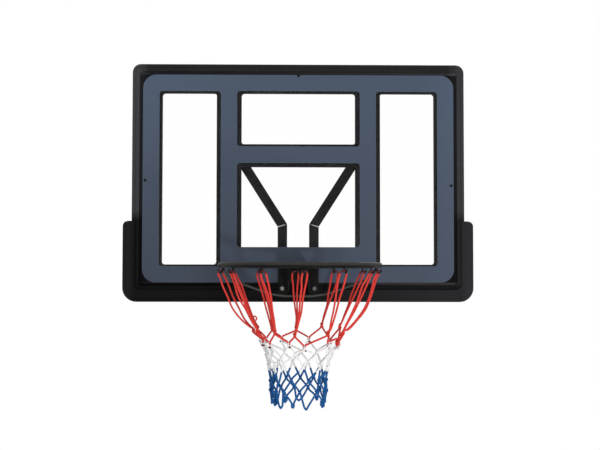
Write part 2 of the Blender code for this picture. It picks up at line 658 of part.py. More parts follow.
def make_hanger(name, side, finish):
    """An angle iron bent outwards, with its front leg notched and closed up at the bend."""
    bottom = -BOLT_SPACING_Z / 2 - HANGER_BOTTOM_MARGIN
    splay, top_screw = hanger_splay()
    length = top_screw + HANGER_SCREW_MARGIN
    mitre = tan(splay / 2)
    half_wall = ANGLE_THICKNESS / 2
    inner = [
        (HANGER_INNER + half_wall, bottom),
        (HANGER_INNER + half_wall, HANGER_BEND_HEIGHT - half_wall * mitre),
        hanger_point(length, half_wall),
    ]
    wall_path = rounded_path(inner, HANGER_BEND_RADIUS, 5)
    count = len(wall_path)
    outline = strip(wall_path, ANGLE_THICKNESS)
    inner_side, outer_side = outline[:count], outline[count:][::-1]
    outer_bend = (HANGER_INNER + ANGLE_WIDTH, HANGER_BEND_HEIGHT - ANGLE_WIDTH * mitre)
    slot_root = (HANGER_INNER + HANGER_SLOT_ROOT, HANGER_BEND_HEIGHT - HANGER_SLOT_ROOT * mitre)
    half_slot = HANGER_SLOT_WIDTH / 2
    edge = [
        hanger_point(length, ANGLE_WIDTH),
        (outer_bend[0] + sin(splay) * half_slot, outer_bend[1] + cos(splay) * half_slot),
        (slot_root[0], slot_root[1] + half_slot / 2),
        (slot_root[0], slot_root[1] - half_slot / 2),
        (outer_bend[0], outer_bend[1] - half_slot),
        (HANGER_INNER + ANGLE_WIDTH, bottom),
    ]
    bm = bmesh.new()

    def level(points, y):
        return [bm.verts.new((side * x, y, z)) for x, z in points]

    def band(first, second):
        for i in range(len(first) - 1):
            bm.faces.new((first[i], first[i + 1], second[i + 1], second[i]))

    inner_front, inner_tip = level(inner_side, GAP), level(inner_side, GAP + ANGLE_WIDTH)
    wall_back, wall_tip = level(outer_side, HANGER_BACK), level(outer_side, GAP + ANGLE_WIDTH)
    edge_front, edge_back = level(edge, GAP), level(edge, HANGER_BACK)
    bm.faces.new(inner_front + edge_front)
    bm.faces.new(wall_back + edge_back)
    band(inner_front, inner_tip)
    band(inner_tip, wall_tip)
    band(wall_tip, wall_back)
    band(edge_front, edge_back)
    bm.faces.new((inner_front[0], inner_tip[0], wall_tip[0], wall_back[0], edge_back[-1], edge_front[-1]))
    bm.faces.new((inner_front[-1], inner_tip[-1], wall_tip[-1], wall_back[-1], edge_back[0], edge_front[0]))
    hanger = add_object(name, bm, finish)

    bm = bmesh.new()
    front, back = -CUT_MARGIN, HANGER_BACK + CUT_MARGIN
    for x, z in BOLT_PLACES:
        if x * side > 0:
            round_prism(bm, x, z, BOLT_DIAMETER / 2 + HOLE_CLEARANCE, front, back)
    for x, z in hanger_screw_places():
        if x * side > 0:
            round_prism(bm, x, z, HANGER_SCREW.shank / 2 + HOLE_CLEARANCE, front, back)
    middle = GAP + (ANGLE_WIDTH + ANGLE_THICKNESS) / 2
    ends = sorted(side * (HANGER_INNER + reach) for reach in (-CUT_MARGIN, CUT_MARGIN))
    for z in POST_HOLE_HEIGHTS:
        ring = [(middle + a, z + b) for a, b in circle_loop(POST_HOLE_DIAMETER / 2, 12)]
        prism(bm, ring, *ends, "X")
    boolean(hanger, add_cutter(name + "_holes", bm), "DIFFERENCE")
    return hanger


# Fasteners

def screw_mesh(name, size, finish, hexagonal=False):
    """A screw along +Y with the underside of its head at the origin."""
    count = 12
    under = circle_loop(size.head / 2, count)
    shank = circle_loop(size.shank / 2, count)
    if hexagonal:
        crown = hexagon_loop(0.68 * size.head, count)
        rings = [(crown, -size.height), (crown, -0.3 * size.height)]
    else:
        rings = [(circle_loop(0.36 * size.head, count), -size.height)]
    rings += [
        (under, -0.25 * size.height),
        (under, 0.0),
        (shank, 0.0),
        (shank, size.length - size.shank / 2),
        (circle_loop(size.shank / 4, count), size.length),
    ]
    return turned(name, rings, finish)


def bolt_mesh(length, finish):
    """A hexagon bolt along +Y with the underside of its head at the origin."""
    count = 12
    head = hexagon_loop(BOLT_HEAD_ACROSS, count)
    shank = BOLT_DIAMETER / 2
    return turned("rim_bolt", [
        (circle_loop(0.46 * BOLT_HEAD_ACROSS, count), -BOLT_HEAD_HEIGHT),
        (head, -0.85 * BOLT_HEAD_HEIGHT),
        (head, 0.0),
        (circle_loop(shank, count), 0.0),
        (circle_loop(shank, count), length - shank / 4),
        (circle_loop(0.75 * shank, count), length),
    ], finish)


def collar_mesh(name, outer, thickness, finish):
    """A washer or a nut with its front face at the origin: an outer loop round the bolt's bore."""
    bore = circle_loop(BOLT_DIAMETER / 2 + GAP, len(outer))
    rings = [(outer, 0.0), (outer, thickness), (bore, thickness), (bore, 0.0)]
    return turned(name, rings, finish, closed=True)


def make_board_screws(black_screw, zinc):
    sheet_screw = screw_mesh("sheet_screw", SHEET_SCREW, black_screw)
    for name, (x, z) in sheet_screw_places().items():
        place(f"sheet_screw_{name}", sheet_screw, (x, SHEET_FRONT - GAP, z))
    bumper_screw = screw_mesh("bumper_screw", BUMPER_SCREW, black_screw)
    for number, (x, z) in enumerate(bumper_screw_places(), 1):
        place(f"bumper_screw_{number}", bumper_screw, (x, BUMPER_LIP_THICKNESS + GAP, z), pi)
    hanger_screw = screw_mesh("hanger_screw", HANGER_SCREW, zinc, hexagonal=True)
    for number, (x, z) in enumerate(hanger_screw_places(), 1):
        place(f"hanger_screw_{number}", hanger_screw, (x, HANGER_BACK + GAP, z), pi)


def make_rim_bolts(zinc):
    """Four bolts from the bracket's front to behind the hangers, each with a washer and a nut."""
    seat = BRACKET_FRONT - GAP
    washer_front = HANGER_BACK + GAP
    nut_front = washer_front + WASHER_THICKNESS + GAP
    bolt = bolt_mesh(nut_front + NUT_HEIGHT + BOLT_TAIL - seat, zinc)
    washer = collar_mesh("rim_washer", circle_loop(WASHER_DIAMETER / 2, 16), WASHER_THICKNESS, zinc)
    nut = collar_mesh("rim_nut", hexagon_loop(BOLT_HEAD_ACROSS, 12), NUT_HEIGHT, zinc)
    for number, (x, z) in enumerate(BOLT_PLACES, 1):
        place(f"rim_bolt_{number}", bolt, (x, seat, z))
        place(f"rim_washer_{number}", washer, (x, washer_front, z))
        place(f"rim_nut_{number}", nut, (x, nut_front, z))


# Rim

def make_ring(finish, rim):
    bpy.ops.mesh.primitive_torus_add(
        major_segments=48, minor_segments=12, major_radius=RING_RADIUS, minor_radius=RING_TUBE)
    ring = bpy.context.object
    ring.name = ring.data.name = "rim_ring"
    ring.parent = rim
    ring.data.shade_smooth()
    ring.data.materials.append(finish)


def make_bracket(finish):
    """A pressed hat section: two flanges on the rim pad and a channel out to the ring."""
    half_wall = BRACKET_THICKNESS / 2
    middle = BRACKET_BACK - half_wall
    channel = CHANNEL_HALF_WIDTH - half_wall
    nose = NOSE_FRONT + half_wall
    corners = [
        (BRACKET_HALF_WIDTH, middle), (channel, middle), (channel, nose),
        (-channel, nose), (-channel, middle), (-BRACKET_HALF_WIDTH, middle),
    ]
    bm = bmesh.new()
    outline = strip(rounded_path(corners, BRACKET_BEND_RADIUS, 4), BRACKET_THICKNESS)
    prism(bm, outline, BRACKET_BOTTOM, BRACKET_TOP, "Z")
    bracket = add_object("rim_bracket", bm, finish)

    bm = bmesh.new()
    start = BRACKET_FRONT - GAP / 2
    nose_bottom = BRACKET_TOP - CHANNEL_NOSE_HEIGHT
    prism(bm, [
        (start, BRACKET_BOTTOM - CUT_MARGIN),
        (start, BRACE_FLAT_Z + BRACE_RADIUS + CHANNEL_FOOT_CLEARANCE),
        (NOSE_FRONT + CHANNEL_NOSE_DEPTH, nose_bottom),
        (NOSE_FRONT - CUT_MARGIN, nose_bottom),
        (NOSE_FRONT - CUT_MARGIN, BRACKET_BOTTOM - CUT_MARGIN),
    ], -BRACKET_HALF_WIDTH, BRACKET_HALF_WIDTH, "X")
    boolean(bracket, add_cutter("bracket_slope", bm), "DIFFERENCE")

    bm = bmesh.new()
    corner = BRACKET_CORNER_RADIUS
    front, back = BRACKET_FRONT - JOIN_DEPTH, BRACKET_BACK + CUT_MARGIN
    for side in (-1, 1):
        for edge, way in ((BRACKET_TOP, 1), (BRACKET_BOTTOM, -1)):
            centre = (BRACKET_HALF_WIDTH - corner, edge - way * corner)
            outer, beyond = BRACKET_HALF_WIDTH + CUT_MARGIN, edge + way * CUT_MARGIN
            outline = arc(centre, corner, 0, way * pi / 2, 5)
            outline += [(centre[0], beyond), (outer, beyond), (outer, centre[1])]
            prism(bm, [(side * x, z) for x, z in outline], front, back, "Y")
    for x, z in BOLT_PLACES:
        round_prism(bm, x, z, BOLT_DIAMETER / 2 + HOLE_CLEARANCE, BRACKET_FRONT - CUT_MARGIN, back)
    boolean(bracket, add_cutter("bracket_cuts", bm), "DIFFERENCE")
    return bracket


def tube_curve(name, points, diameter, finish, rounding):
    """A round rod along the points, with closed ends; rounding sets how many sides it has."""
    data = bpy.data.curves.new(name, "CURVE")
    data.dimensions = "3D"
    data.bevel_depth = diameter / 2
    data.bevel_resolution = rounding
    data.use_fill_caps = True
    line = data.splines.new("POLY")
    line.points.add(len(points) - 1)
    for target, point in zip(line.points, points):
        target.co = (*point, 1)
    line.use_smooth = True
    data.materials.append(finish)
    return data


def ring_place(angle, radius, z):
    """A point at this angle from the ring's rear, in degrees, and this radius from its centre."""
    turn = radians(angle)
    return Vector((radius * sin(turn), radius * cos(turn), z))


def make_brace(finish, rim):
    """The rod under the ring: flat across the bracket, out and up to the ring on both sides."""
    flat = Vector((CHANNEL_HALF_WIDTH + BRACE_FLAT_OUTSET, BRACE_FLAT_Y, BRACE_FLAT_Z))
    hip_x = BRACKET_HALF_WIDTH + BRACE_HIP_OUTSET
    hip = Vector((hip_x, BRACE_FLAT_Y - BRACE_RADIUS, BRACE_FLAT_Z + BRACE_HIP_RISE))
    side = [
        ring_place(BRACE_FOOT_ANGLE, RING_RADIUS, -RING_TUBE - GAP - BRACE_RADIUS),
        ring_place(BRACE_KNEE_ANGLE, RING_RADIUS + BRACE_KNEE_OUTSET, -BRACE_KNEE_DROP),
        hip - RING_CENTRE,
        flat - RING_CENTRE,
    ]
    whole = side + [Vector((-point.x, point.y, point.z)) for point in reversed(side)]
    path = rounded_path(whole, BRACE_BEND_RADIUS, 5)
    place("rim_brace", tube_curve("rim_brace", path, BRACE_DIAMETER, finish, 2), parent=rim)


def hook_turn(index):
    return radians(HOOK_START) + 2 * pi * index / HOOK_COUNT - pi / 2


def make_hooks(finish, rim):
    """Wire hooks under the ring that open outwards; each has its origin on the tube's middle line."""
    root = -sqrt(RING_TUBE ** 2 - HOOK_SHANK_INSET ** 2) - HOOK_WIRE / 2
    profile = [(0, root), (0, HOOK_BEND + HOOK_SHANK / 2)]
    profile += arc((HOOK_RADIUS, HOOK_BEND), HOOK_RADIUS, pi, 2 * pi, 6)
    profile.append((2 * HOOK_RADIUS, HOOK_BEND + HOOK_TIP))
    points = [(x - HOOK_SHANK_INSET, 0, z) for x, z in profile]
    hook = tube_curve("net_hook", points, HOOK_WIRE, finish, 1)
    for index in range(HOOK_COUNT):
        turn = hook_turn(index)
        spot = (RING_RADIUS * cos(turn), RING_RADIUS * sin(turn), 0)
        place(f"net_hook_{index + 1:02d}", hook, spot, turn, rim)


# Net

def knot_place(row, index):
    """Centre of a knot, with its outward and sideways vectors."""
    drop, radius = NET_ROWS[row]
    first, last = NET_ROWS[0][0], NET_ROWS[-1][0]
    twist = radians(NET_TWIST) * sqrt((drop - first) / (last - first))
    turn = 2 * pi * (index + 0.5 * (row % 2)) / HOOK_COUNT - pi / 2 - twist
    out = Vector((cos(turn), sin(turn), 0))
    return out * radius - Vector((0, 0, drop)), out, Vector((-sin(turn), cos(turn), 0))


class NetSection:
    """One colour of the net as a single skin of knots joined by square cords."""

    def __init__(self):
        self.bm = bmesh.new()
        self.knots = {}

    def knot(self, row, index, ports):
        """A knot with four sides that cords can join; ports names the sides left open for them."""
        centre, out, sideways = knot_place(row, index)
        reach = NET_CORD / sqrt(2)
        corners = {
            "right": centre + sideways * reach,
            "top": centre + Vector((0, 0, reach)),
            "left": centre - sideways * reach,
            "bottom": centre - Vector((0, 0, reach)),
        }
        half = out * NET_CORD / 2
        verts = {k: (self.bm.verts.new(p + half), self.bm.verts.new(p - half)) for k, p in corners.items()}
        self.knots[row, index % HOOK_COUNT] = verts
        sides = {
            "UR": ("right", "top"),
            "UL": ("top", "left"),
            "DL": ("left", "bottom"),
            "DR": ("bottom", "right"),
        }
        for face, depth in ((0, 1), (1, -1)):
            crown = self.bm.verts.new(centre + half * (depth * KNOT_CROWN))
            for a, b in sides.values():
                self.bm.faces.new((verts[a][face], verts[b][face], crown))
        for port, (a, b) in sides.items():
            if port not in ports:
                self.bm.faces.new((verts[a][0], verts[b][0], verts[b][1], verts[a][1]))

    def ring(self, point, way, out):
        """Four new points round a cord, square to its way."""
        across = way.cross(out).normalized() * NET_CORD / 2
        depth = across.cross(way).normalized() * NET_CORD / 2
        if depth.dot(out) < 0:
            depth = -depth
        corners = (across + depth, across - depth, -across - depth, -across + depth)
        return [self.bm.verts.new(point + corner) for corner in corners]

    def join(self, first, second):
        for i in range(4):
            j = (i + 1) % 4
            self.bm.faces.new((first[i], first[j], second[j], second[i]))

    def port(self, row, index, near, far):
        """A knot's side as a ring: near lies on the cord's first side, far on the other."""
        verts = self.knots[row, index % HOOK_COUNT]
        return [verts[near][0], verts[near][1], verts[far][1], verts[far][0]]

    def run(self, rings, cap_start=False, cap_end=False):
        for first, second in zip(rings, rings[1:]):
            self.join(first, second)
        if cap_start:
            self.bm.faces.new(rings[0])
        if cap_end:
            self.bm.faces.new(rings[-1])


def cord_between(section, lower_row, lower_index, rises_right, start, end):
    """A cord from a knot up to a knot of the row above, from share start to share end of its length."""
    upper_index = lower_index + (lower_row % 2) - (0 if rises_right else 1)
    if rises_right:
        lower_port, upper_port = ("right", "top"), ("bottom", "left")
    else:
        lower_port, upper_port = ("top", "left"), ("right", "bottom")
    low, low_out, low_side = knot_place(lower_row, lower_index)
    high, high_out, high_side = knot_place(lower_row - 1, upper_index)
    turn = 1 if rises_right else -1
    reach = NET_CORD / 2
    diagonal = 1 / sqrt(2)
    low_way = (low_side * turn + Vector((0, 0, 1))) * diagonal
    high_way = (high_side * turn + Vector((0, 0, 1))) * diagonal
    first, last = low + low_way * reach, high - high_way * reach
    span = (last - first).length

    def point(share):
        pull = span * 0.30
        a, b, c, d = first, first + low_way * pull, last - high_way * pull, last
        rest = 1 - share
        return a * rest ** 3 + b * 3 * rest ** 2 * share + c * 3 * rest * share ** 2 + d * share ** 3

    def place(share):
        way = (point(min(share + 0.02, 1)) - point(max(share - 0.02, 0))).normalized()
        return section.ring(point(share), way, low_out.lerp(high_out, share).normalized())

    rings = []
    if start == 0:
        rings.append(section.port(lower_row, lower_index, *lower_port))
    else:
        rings.append(place(start))
    rings += [place(share) for share in (0.36, 0.70) if start + 0.12 < share < end - 0.12]
    if end == 1:
        rings.append(section.port(lower_row - 1, upper_index, *upper_port))
    else:
        rings.append(place(end))
    section.run(rings, cap_start=start > 0, cap_end=end < 1)


def hook_loop(section, index):
    """The loop that hangs over a hook: up from the first knot, over the wire and back."""
    turn = hook_turn(index)
    out, sideways = Vector((cos(turn), sin(turn), 0)), Vector((-sin(turn), cos(turn), 0))
    cup = HOOK_RADIUS - HOOK_WIRE / 2 - 2 * GAP
    over = HOOK_RADIUS + NET_CORD / 2 - sqrt(cup ** 2 - (NET_CORD / 2) ** 2)
    crown = out * (RING_RADIUS + HOOK_RADIUS - HOOK_SHANK_INSET)
    crown.z = HOOK_BEND - HOOK_RADIUS
    low = knot_place(0, index)[0] + Vector((0, 0, NET_CORD / sqrt(2)))
    sides = [
        (low.lerp(crown, share) + out * (NET_LOOP_BULGE * bulge), NET_LOOP_HALF_WIDTH * width)
        for share, width, bulge in NET_LOOP_SHAPE
    ]
    path = [middle + sideways * width for middle, width in sides]
    path += [crown + sideways * a + Vector((0, 0, b)) for a, b in arc((0, 0), over, 0, pi, 5)]
    path += [middle - sideways * width for middle, width in reversed(sides)]
    ends = [low + sideways * (side * NET_CORD / 4) for side in (1, -1)]
    rings = [section.port(0, index, "right", "top")]
    for before, point, after in zip([ends[0]] + path, path, path[1:] + [ends[1]]):
        rings.append(section.ring(point, (after - before).normalized(), out))
    rings.append(section.port(0, index, "left", "top"))
    section.run(rings)


def make_net(finishes, rim):
    last = len(NET_ROWS) - 1
    first_white = len(RED_ROWS)
    first_blue = first_white + len(WHITE_ROWS)
    sections = (
        ("net_red", 0, first_white),
        ("net_white", first_white, first_blue),
        ("net_blue", first_blue, last + 1),
    )
    for name, first_row, end_row in sections:
        section = NetSection()
        hangs_below = end_row == first_blue
        for row in range(first_row, end_row):
            ports = {"UR", "UL"}
            if row + 1 < end_row or hangs_below:
                ports |= {"DL", "DR"}
            for index in range(HOOK_COUNT):
                section.knot(row, index, ports)
        for row in range(first_row, end_row):
            for index in range(HOOK_COUNT):
                if row == 0:
                    hook_loop(section, index)
                    continue
                top_end = 1 if row > first_row else 1 - NET_SPLICE
                if row == first_blue:
                    top_end = NET_BLUE_START
                for rises_right in (True, False):
                    cord_between(section, row, index, rises_right, 0, top_end)
        if hangs_below:
            for index in range(HOOK_COUNT):
                for rises_right in (True, False):
                    cord_between(section, end_row, index, rises_right, NET_BLUE_START + NET_SPLICE, 1)
        place(name, make_mesh(name, section.bm, finishes[name], 80), parent=rim)


def main():
    for old in list(bpy.data.objects):
        bpy.data.objects.remove(old, do_unlink=True)

    black_plastic = material("black_plastic", (0.022, 0.021, 0.023), 0.42)
    bumper_plastic = material("bumper_plastic", (0.012, 0.012, 0.014), 0.50)
    clear_plastic = material("clear_plastic", (0.30, 0.36, 0.46), 0.08, alpha=0.55)
    black_steel = material("black_steel", (0.018, 0.017, 0.016), 0.38, 0.4)
    black_screw = material("black_screw", (0.010, 0.010, 0.011), 0.40, 0.6)
    zinc = material("zinc", (0.62, 0.62, 0.60), 0.35, 1.0)
    net_finishes = {
        "net_red": material("red_cord", (0.78, 0.05, 0.03), 0.75),
        "net_white": material("white_cord", (0.80, 0.80, 0.79), 0.75),
        "net_blue": material("blue_cord", (0.01, 0.05, 0.22), 0.75),
    }

    make_frame(black_plastic)
    make_sheet(clear_plastic)
    make_bumper(bumper_plastic)
    make_hanger("hanger_left", -1, black_steel)
    make_hanger("hanger_right", 1, black_steel)
    make_board_screws(black_screw, zinc)
    make_bracket(black_steel)
    make_rim_bolts(zinc)

    rim = place("rim", None, RING_CENTRE)
    make_ring(black_steel, rim)
    make_brace(black_steel, rim)
    make_hooks(black_steel, rim)
    make_net(net_finishes, rim)


main()
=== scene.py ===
"""The look of the basketball goal head: finishes, a smooth ring with welds, and a net of braided cord."""

from math import atan2, cos, pi, radians, sin, sqrt

import bmesh
import bpy
from mathutils import Matrix, Vector


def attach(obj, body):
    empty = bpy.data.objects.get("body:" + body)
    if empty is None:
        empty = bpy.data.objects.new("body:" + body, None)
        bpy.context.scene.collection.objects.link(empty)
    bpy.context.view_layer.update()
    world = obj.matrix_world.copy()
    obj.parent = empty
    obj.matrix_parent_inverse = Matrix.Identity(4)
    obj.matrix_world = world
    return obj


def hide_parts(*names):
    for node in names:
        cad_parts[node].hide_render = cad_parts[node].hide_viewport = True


# The board. Its front and the floor of the sheet's seat are places along y.
FRAME_HALF_WIDTH = 0.522
FRAME_HALF_HEIGHT = 0.360
FRAME_MIDDLE_HEIGHT = 0.3105
FRAME_FRONT = -0.035
SEAT_FLOOR = -0.0295
SHEET_HALF_HEIGHT = 0.327
MOULDING_LINE_INSET = 0.0110

# The clear windows in the sheet's print: middle across, half width, foot and head
SIDE_WINDOW = (0.3406, 0.0964, 0.0345, 0.5856)
UPPER_WINDOW = (0, 0.1933, 0.4112, 0.5864)
LOWER_WINDOW = (0, 0.1933, 0.0945, 0.3592)
WINDOW_CORNER = 0.0105

# The ring and its hooks, whose bends lie below the ring's middle
RING_CENTRE = Vector((0, -0.366, 0.0352))
RING_RADIUS = 0.225
RING_BAR_RADIUS = 0.008
RING_HEIGHT_OVER_COURT = 3.05
HOOK_COUNT = 12
HOOK_START = radians(1.7)
HOOK_BEND_DROP = 0.0148
HOOK_BEND_RADIUS = 0.0062
BRACE_FOOT_TURN = radians(77)

# The welds: how far each bead lies above the ring's middle, its arc's radius, and its own radius
BRACKET_WELD = (0.0062, 0.2325, 0.0028)
BRACKET_WELD_SWEEP = radians(14)
BRACE_WELD = (-0.0092, RING_RADIUS, 0.0030)
BRACE_WELD_SWEEP = radians(3.4)
HOOK_WELD = (-0.0062, 0.0024, 0.0011)

# The cords
CORD_RADIUS = 0.00225
RED_RADIUS = CORD_RADIUS * 1.18
WHITE_RADIUS = CORD_RADIUS * 1.15
BLUE_RADIUS = CORD_RADIUS * 1.28
TIE_RADIUS = 0.0011
TIE_DROP = 0.0105
TIE_LENGTH = 0.0030
BRAID_PITCH = 0.0060
JOINT_HALF_HEIGHT = 0.0052

# How far each row of knots hangs below the ring's middle, and how far it is from the net's axis
KNOT_ROWS = (
    (0.1917, 0.127),
    (0.2197, 0.106),
    (0.2542, 0.094),
    (0.2867, 0.0845),
    (0.3227, 0.080),
    (0.3572, 0.079),
    (0.4032, 0.0775),
)
NET_TWIST = radians(7)

# How a soft net strays from even: how far each knot is right of and above its place, in millimetres
KNOT_SHIFTS = (
    (
        (-16, 0), (12, 5), (4, -2), (-5, 1), (6, 16), (2, 16),
        (-9, 6), (-16, 5), (-11, 12), (-4, 8), (-9, 10), (-6, 7),
    ),
    (
        (-12, -2), (6, 7), (2, -2), (6, 0), (10, 6), (-5, 10),
        (-29, 11), (-24, 10), (-8, 14), (0, 8), (-7, 5), (0, 7),
    ),
    (
        (-8, 10), (-3, 6), (-2, 6), (-2, 6), (-2, 6), (-2, 5),
        (-1, 4), (-1, 3), (-1, 2), (-1, 2), (0, 0), (1, -3),
    ),
    (
        (-7, 9), (-1, 5), (-2, 6), (-2, 7), (-3, 7), (-3, 8),
        (-4, 9), (-5, 10), (-6, 10), (-6, 11), (-7, 11), (-17, 13),
    ),
    (
        (-17, 7), (-10, 4), (-12, 2), (-6, 2), (-6, 2), (-6, 2),
        (-5, 0), (-5, 0), (-4, -1), (-3, -2), (-4, -3), (-14, -5),
    ),
    (
        (-14, 8), (-4, 7), (-6, 4), (-3, 5), (-4, 6), (-4, 6),
        (-4, 7), (-4, 8), (-4, 8), (-4, 9), (-5, 9), (-16, 9),
    ),
    (
        (-11, 11), (-14, 5), (0, 9), (-6, 19), (-2, 16), (3, 17),
        (-11, 13), (-11, 9), (-3, 12), (-2, 14), (2, 12), (-7, 8),
    ),
)

# The loop on each hook: shares of the way up from its knot, of its half width, and of its outward bow
LOOP_HALF_WIDTH = 0.0095
LOOP_BOW = 0.010
LOOP_SHAPE = (
    (0.06, 0.22, 0.22), (0.2, 0.26, 0.75), (0.4, 0.40, 0.90),
    (0.6, 0.62, 0.68), (0.8, 0.88, 0.34), (0.93, 1.0, 0.08),
)

# How far right of even the right and the left side of each loop hang at those shares, in millimetres
LOOP_SHIFTS = (
    ((0, 2, 4, 1, 0, 0), (3, 5, 6, 6, 7, 5)),
    ((0, -2, -4, -6, -5, -5), (1, -4, -6, -7, -8, -8)),
    ((-3, -8, -8, -8, -8, -8), (-3, -8, -10, -10, -12, -8)),
    ((7, 10, 14, 10, 4, 0), (3, 6, 8, 5, -3, -8)),
    ((-1, -7, -10, -12, -10, -8), (-3, -8, -10, -9, -8, -8)),
    ((0, -2, 0, -1, 1, 1), (-3, -4, -3, 1, 4, 3)),
    ((1, 3, 0, -2, -2, -4), (0, 1, -1, -4, -5, -4)),
    ((2, 4, 4, 4, 2, 0), (2, 6, 6, 3, -3, -7)),
    ((2, 6, 11, 11, 12, 8), (3, 7, 11, 12, 12, 8)),
    ((-1, -9, -13, -10, -9, -6), (2, 1, 5, 5, 8, 8)),
    ((3, 4, 7, 5, 3, 4), (3, 5, 6, 1, 5, 6)),
    ((2, 7, 9, 10, 8, 6), (3, 7, 11, 14, 12, 8)),
)

# The loop's stiff arch over the hook's wire. ARCH_HEIGHT is how high its ends are from the ring's middle.
CORD_OVER_WIRE = 0.0048
ARCH_RISE = 0.9 * LOOP_HALF_WIDTH
ARCH_HEIGHT = CORD_OVER_WIRE - HOOK_BEND_DROP - HOOK_BEND_RADIUS - ARCH_RISE

# The share of the way from the fourth knots to the fifth at which each left and right cord turns blue
COLOUR_STARTS = (
    (0.34, 0.10), (0.34, 0.08), (0.30, 0.36), (0.33, 0.38), (0.40, 0.31), (0.36, 0.34),
    (0.32, 0.37), (0.38, 0.33), (0.35, 0.30), (0.31, 0.37), (0.33, 0.40), (0.36, 0.40),
)

# How far above its turn each tip closes, and its half width there. Tips that close highest are lashed.
TIP_SHAPES = (
    (0.013, 0.0030), (0.009, 0.0060), (0.020, 0.0032), (0.011, 0.0050), (0.008, 0.0055), (0.012, 0.0035),
    (0.006, 0.0070), (0.016, 0.0031), (0.009, 0.0050), (0.011, 0.0045), (0.018, 0.0034), (0.008, 0.0060),
)
LASHED_FROM = 0.015
TIP_FOOT = 0.004


# Materials

class Wire:
    """A socket in a material. Arithmetic on it adds Math nodes."""

    def __init__(self, finish, socket):
        self.finish = finish
        self.socket = socket

    def __add__(self, other):
        return self.finish.maths("ADD", self, other)

    def __radd__(self, other):
        return self.finish.maths("ADD", other, self)

    def __sub__(self, other):
        return self.finish.maths("SUBTRACT", self, other)

    def __rsub__(self, other):
        return self.finish.maths("SUBTRACT", other, self)

    def __mul__(self, other):
        return self.finish.maths("MULTIPLY", self, other)

    def __rmul__(self, other):
        return self.finish.maths("MULTIPLY", other, self)

    def __truediv__(self, other):
        return self.finish.maths("DIVIDE", self, other)

    def __rtruediv__(self, other):
        return self.finish.maths("DIVIDE", other, self)

    def __pow__(self, other):
        return self.finish.maths("POWER", self, other)

    def __abs__(self):
        return self.finish.maths("ABSOLUTE", self)

    def at_least(self, other):
        return self.finish.maths("MAXIMUM", self, other)

    def at_most(self, other):
        return self.finish.maths("MINIMUM", self, other)

    def within(self, low, high):
        return self.at_least(low).at_most(high)

    def rise(self, low, high):
        """0 below low, 1 above high, and a straight rise between them."""
        return ((self - low) / (high - low)).within(0, 1)

    def sine(self):
        return self.finish.maths("SINE", self)


class Finish:
    """A tree of shader nodes under construction."""

    def __init__(self, name, tree=None):
        if tree is None:
            self.material = bpy.data.materials.new(name)
            self.material.use_nodes = True
            tree = self.material.node_tree
        self.tree = tree
        self.tree.nodes.clear()

    def node(self, kind, settings=None, sockets=None, output=0):
        """Adds a node, with its settings first, and returns the wire from one of its outputs."""
        made = self.tree.nodes.new(kind)
        for key, value in (settings or {}).items():
            setattr(made, key, value)
        for key, value in (sockets or {}).items():
            if isinstance(value, Wire):
                self.tree.links.new(value.socket, made.inputs[key])
            else:
                made.inputs[key].default_value = value
        return Wire(self, made.outputs[output]) if made.outputs else None

    def maths(self, operation, *values):
        return self.node("ShaderNodeMath", {"operation": operation}, dict(enumerate(values)))

    def place(self):
        return self.node("ShaderNodeTexCoord", output="Object")

    def facing(self):
        return self.node("ShaderNodeNewGeometry", output="Normal")

    def split(self, vector):
        made = self.node("ShaderNodeSeparateXYZ", sockets={0: vector})
        return [Wire(self, socket) for socket in made.socket.node.outputs]

    def stretched(self, vector, scale):
        return self.node("ShaderNodeMapping", sockets={"Vector": vector, "Scale": scale})

    def speckle(self, vector, scale, detail=2, rough=0.5):
        """Smooth noise between about 0.2 and 0.8, with features 1 / scale across."""
        sockets = {"Vector": vector, "Scale": scale, "Detail": detail, "Roughness": rough}
        return self.node("ShaderNodeTexNoise", sockets=sockets)

    def cells(self, vector, scale):
        return self.node("ShaderNodeTexVoronoi", sockets={"Vector": vector, "Scale": scale})

    def blend(self, factor, first, second):
        """A colour between two colours."""
        first, second = ((*value, 1) if isinstance(value, tuple) else value for value in (first, second))
        settings = {"data_type": "RGBA"}
        return self.node("ShaderNodeMix", settings, {0: factor, 6: first, 7: second}, output=2)

    def shade(self, colour, amount):
        """The colour times a number."""
        grey = self.node("ShaderNodeCombineColor", sockets={0: amount, 1: amount, 2: amount})
        settings = {"data_type": "RGBA", "blend_type": "MULTIPLY"}
        return self.node("ShaderNodeMix", settings, {0: 1, 6: colour, 7: grey}, output=2)

    def bump(self, height, depth, under=None):
        """Relief whose height of 1 stands depth metres proud."""
        sockets = {"Height": height, "Distance": depth}
        if under:
            sockets["Normal"] = under
        return self.node("ShaderNodeBump", sockets=sockets)

    def softened(self, radius):
        """The surface's direction with its sharp edges rounded."""
        return self.node("ShaderNodeBevel", {"samples": 4}, {"Radius": radius})

    def edges(self, radius):
        """1 near a sharp edge and 0 on flat faces."""
        settings = {"operation": "DOT_PRODUCT"}
        sockets = {0: self.softened(radius), 1: self.facing()}
        agreement = self.node("ShaderNodeVectorMath", settings, sockets, output="Value")
        return (1 - agreement).rise(0.02, 0.16)

    def surface(self, colour, roughness, normal, **constants):
        """Ends the tree in one Principled shader."""
        sockets = {"Base Color": colour, "Roughness": roughness, "Normal": normal}
        sockets.update({name.replace("_", " "): value for name, value in constants.items()})
        shader = self.node("ShaderNodeBsdfPrincipled", sockets=sockets)
        self.node("ShaderNodeOutputMaterial", sockets={"Surface": shader})
        return self.material


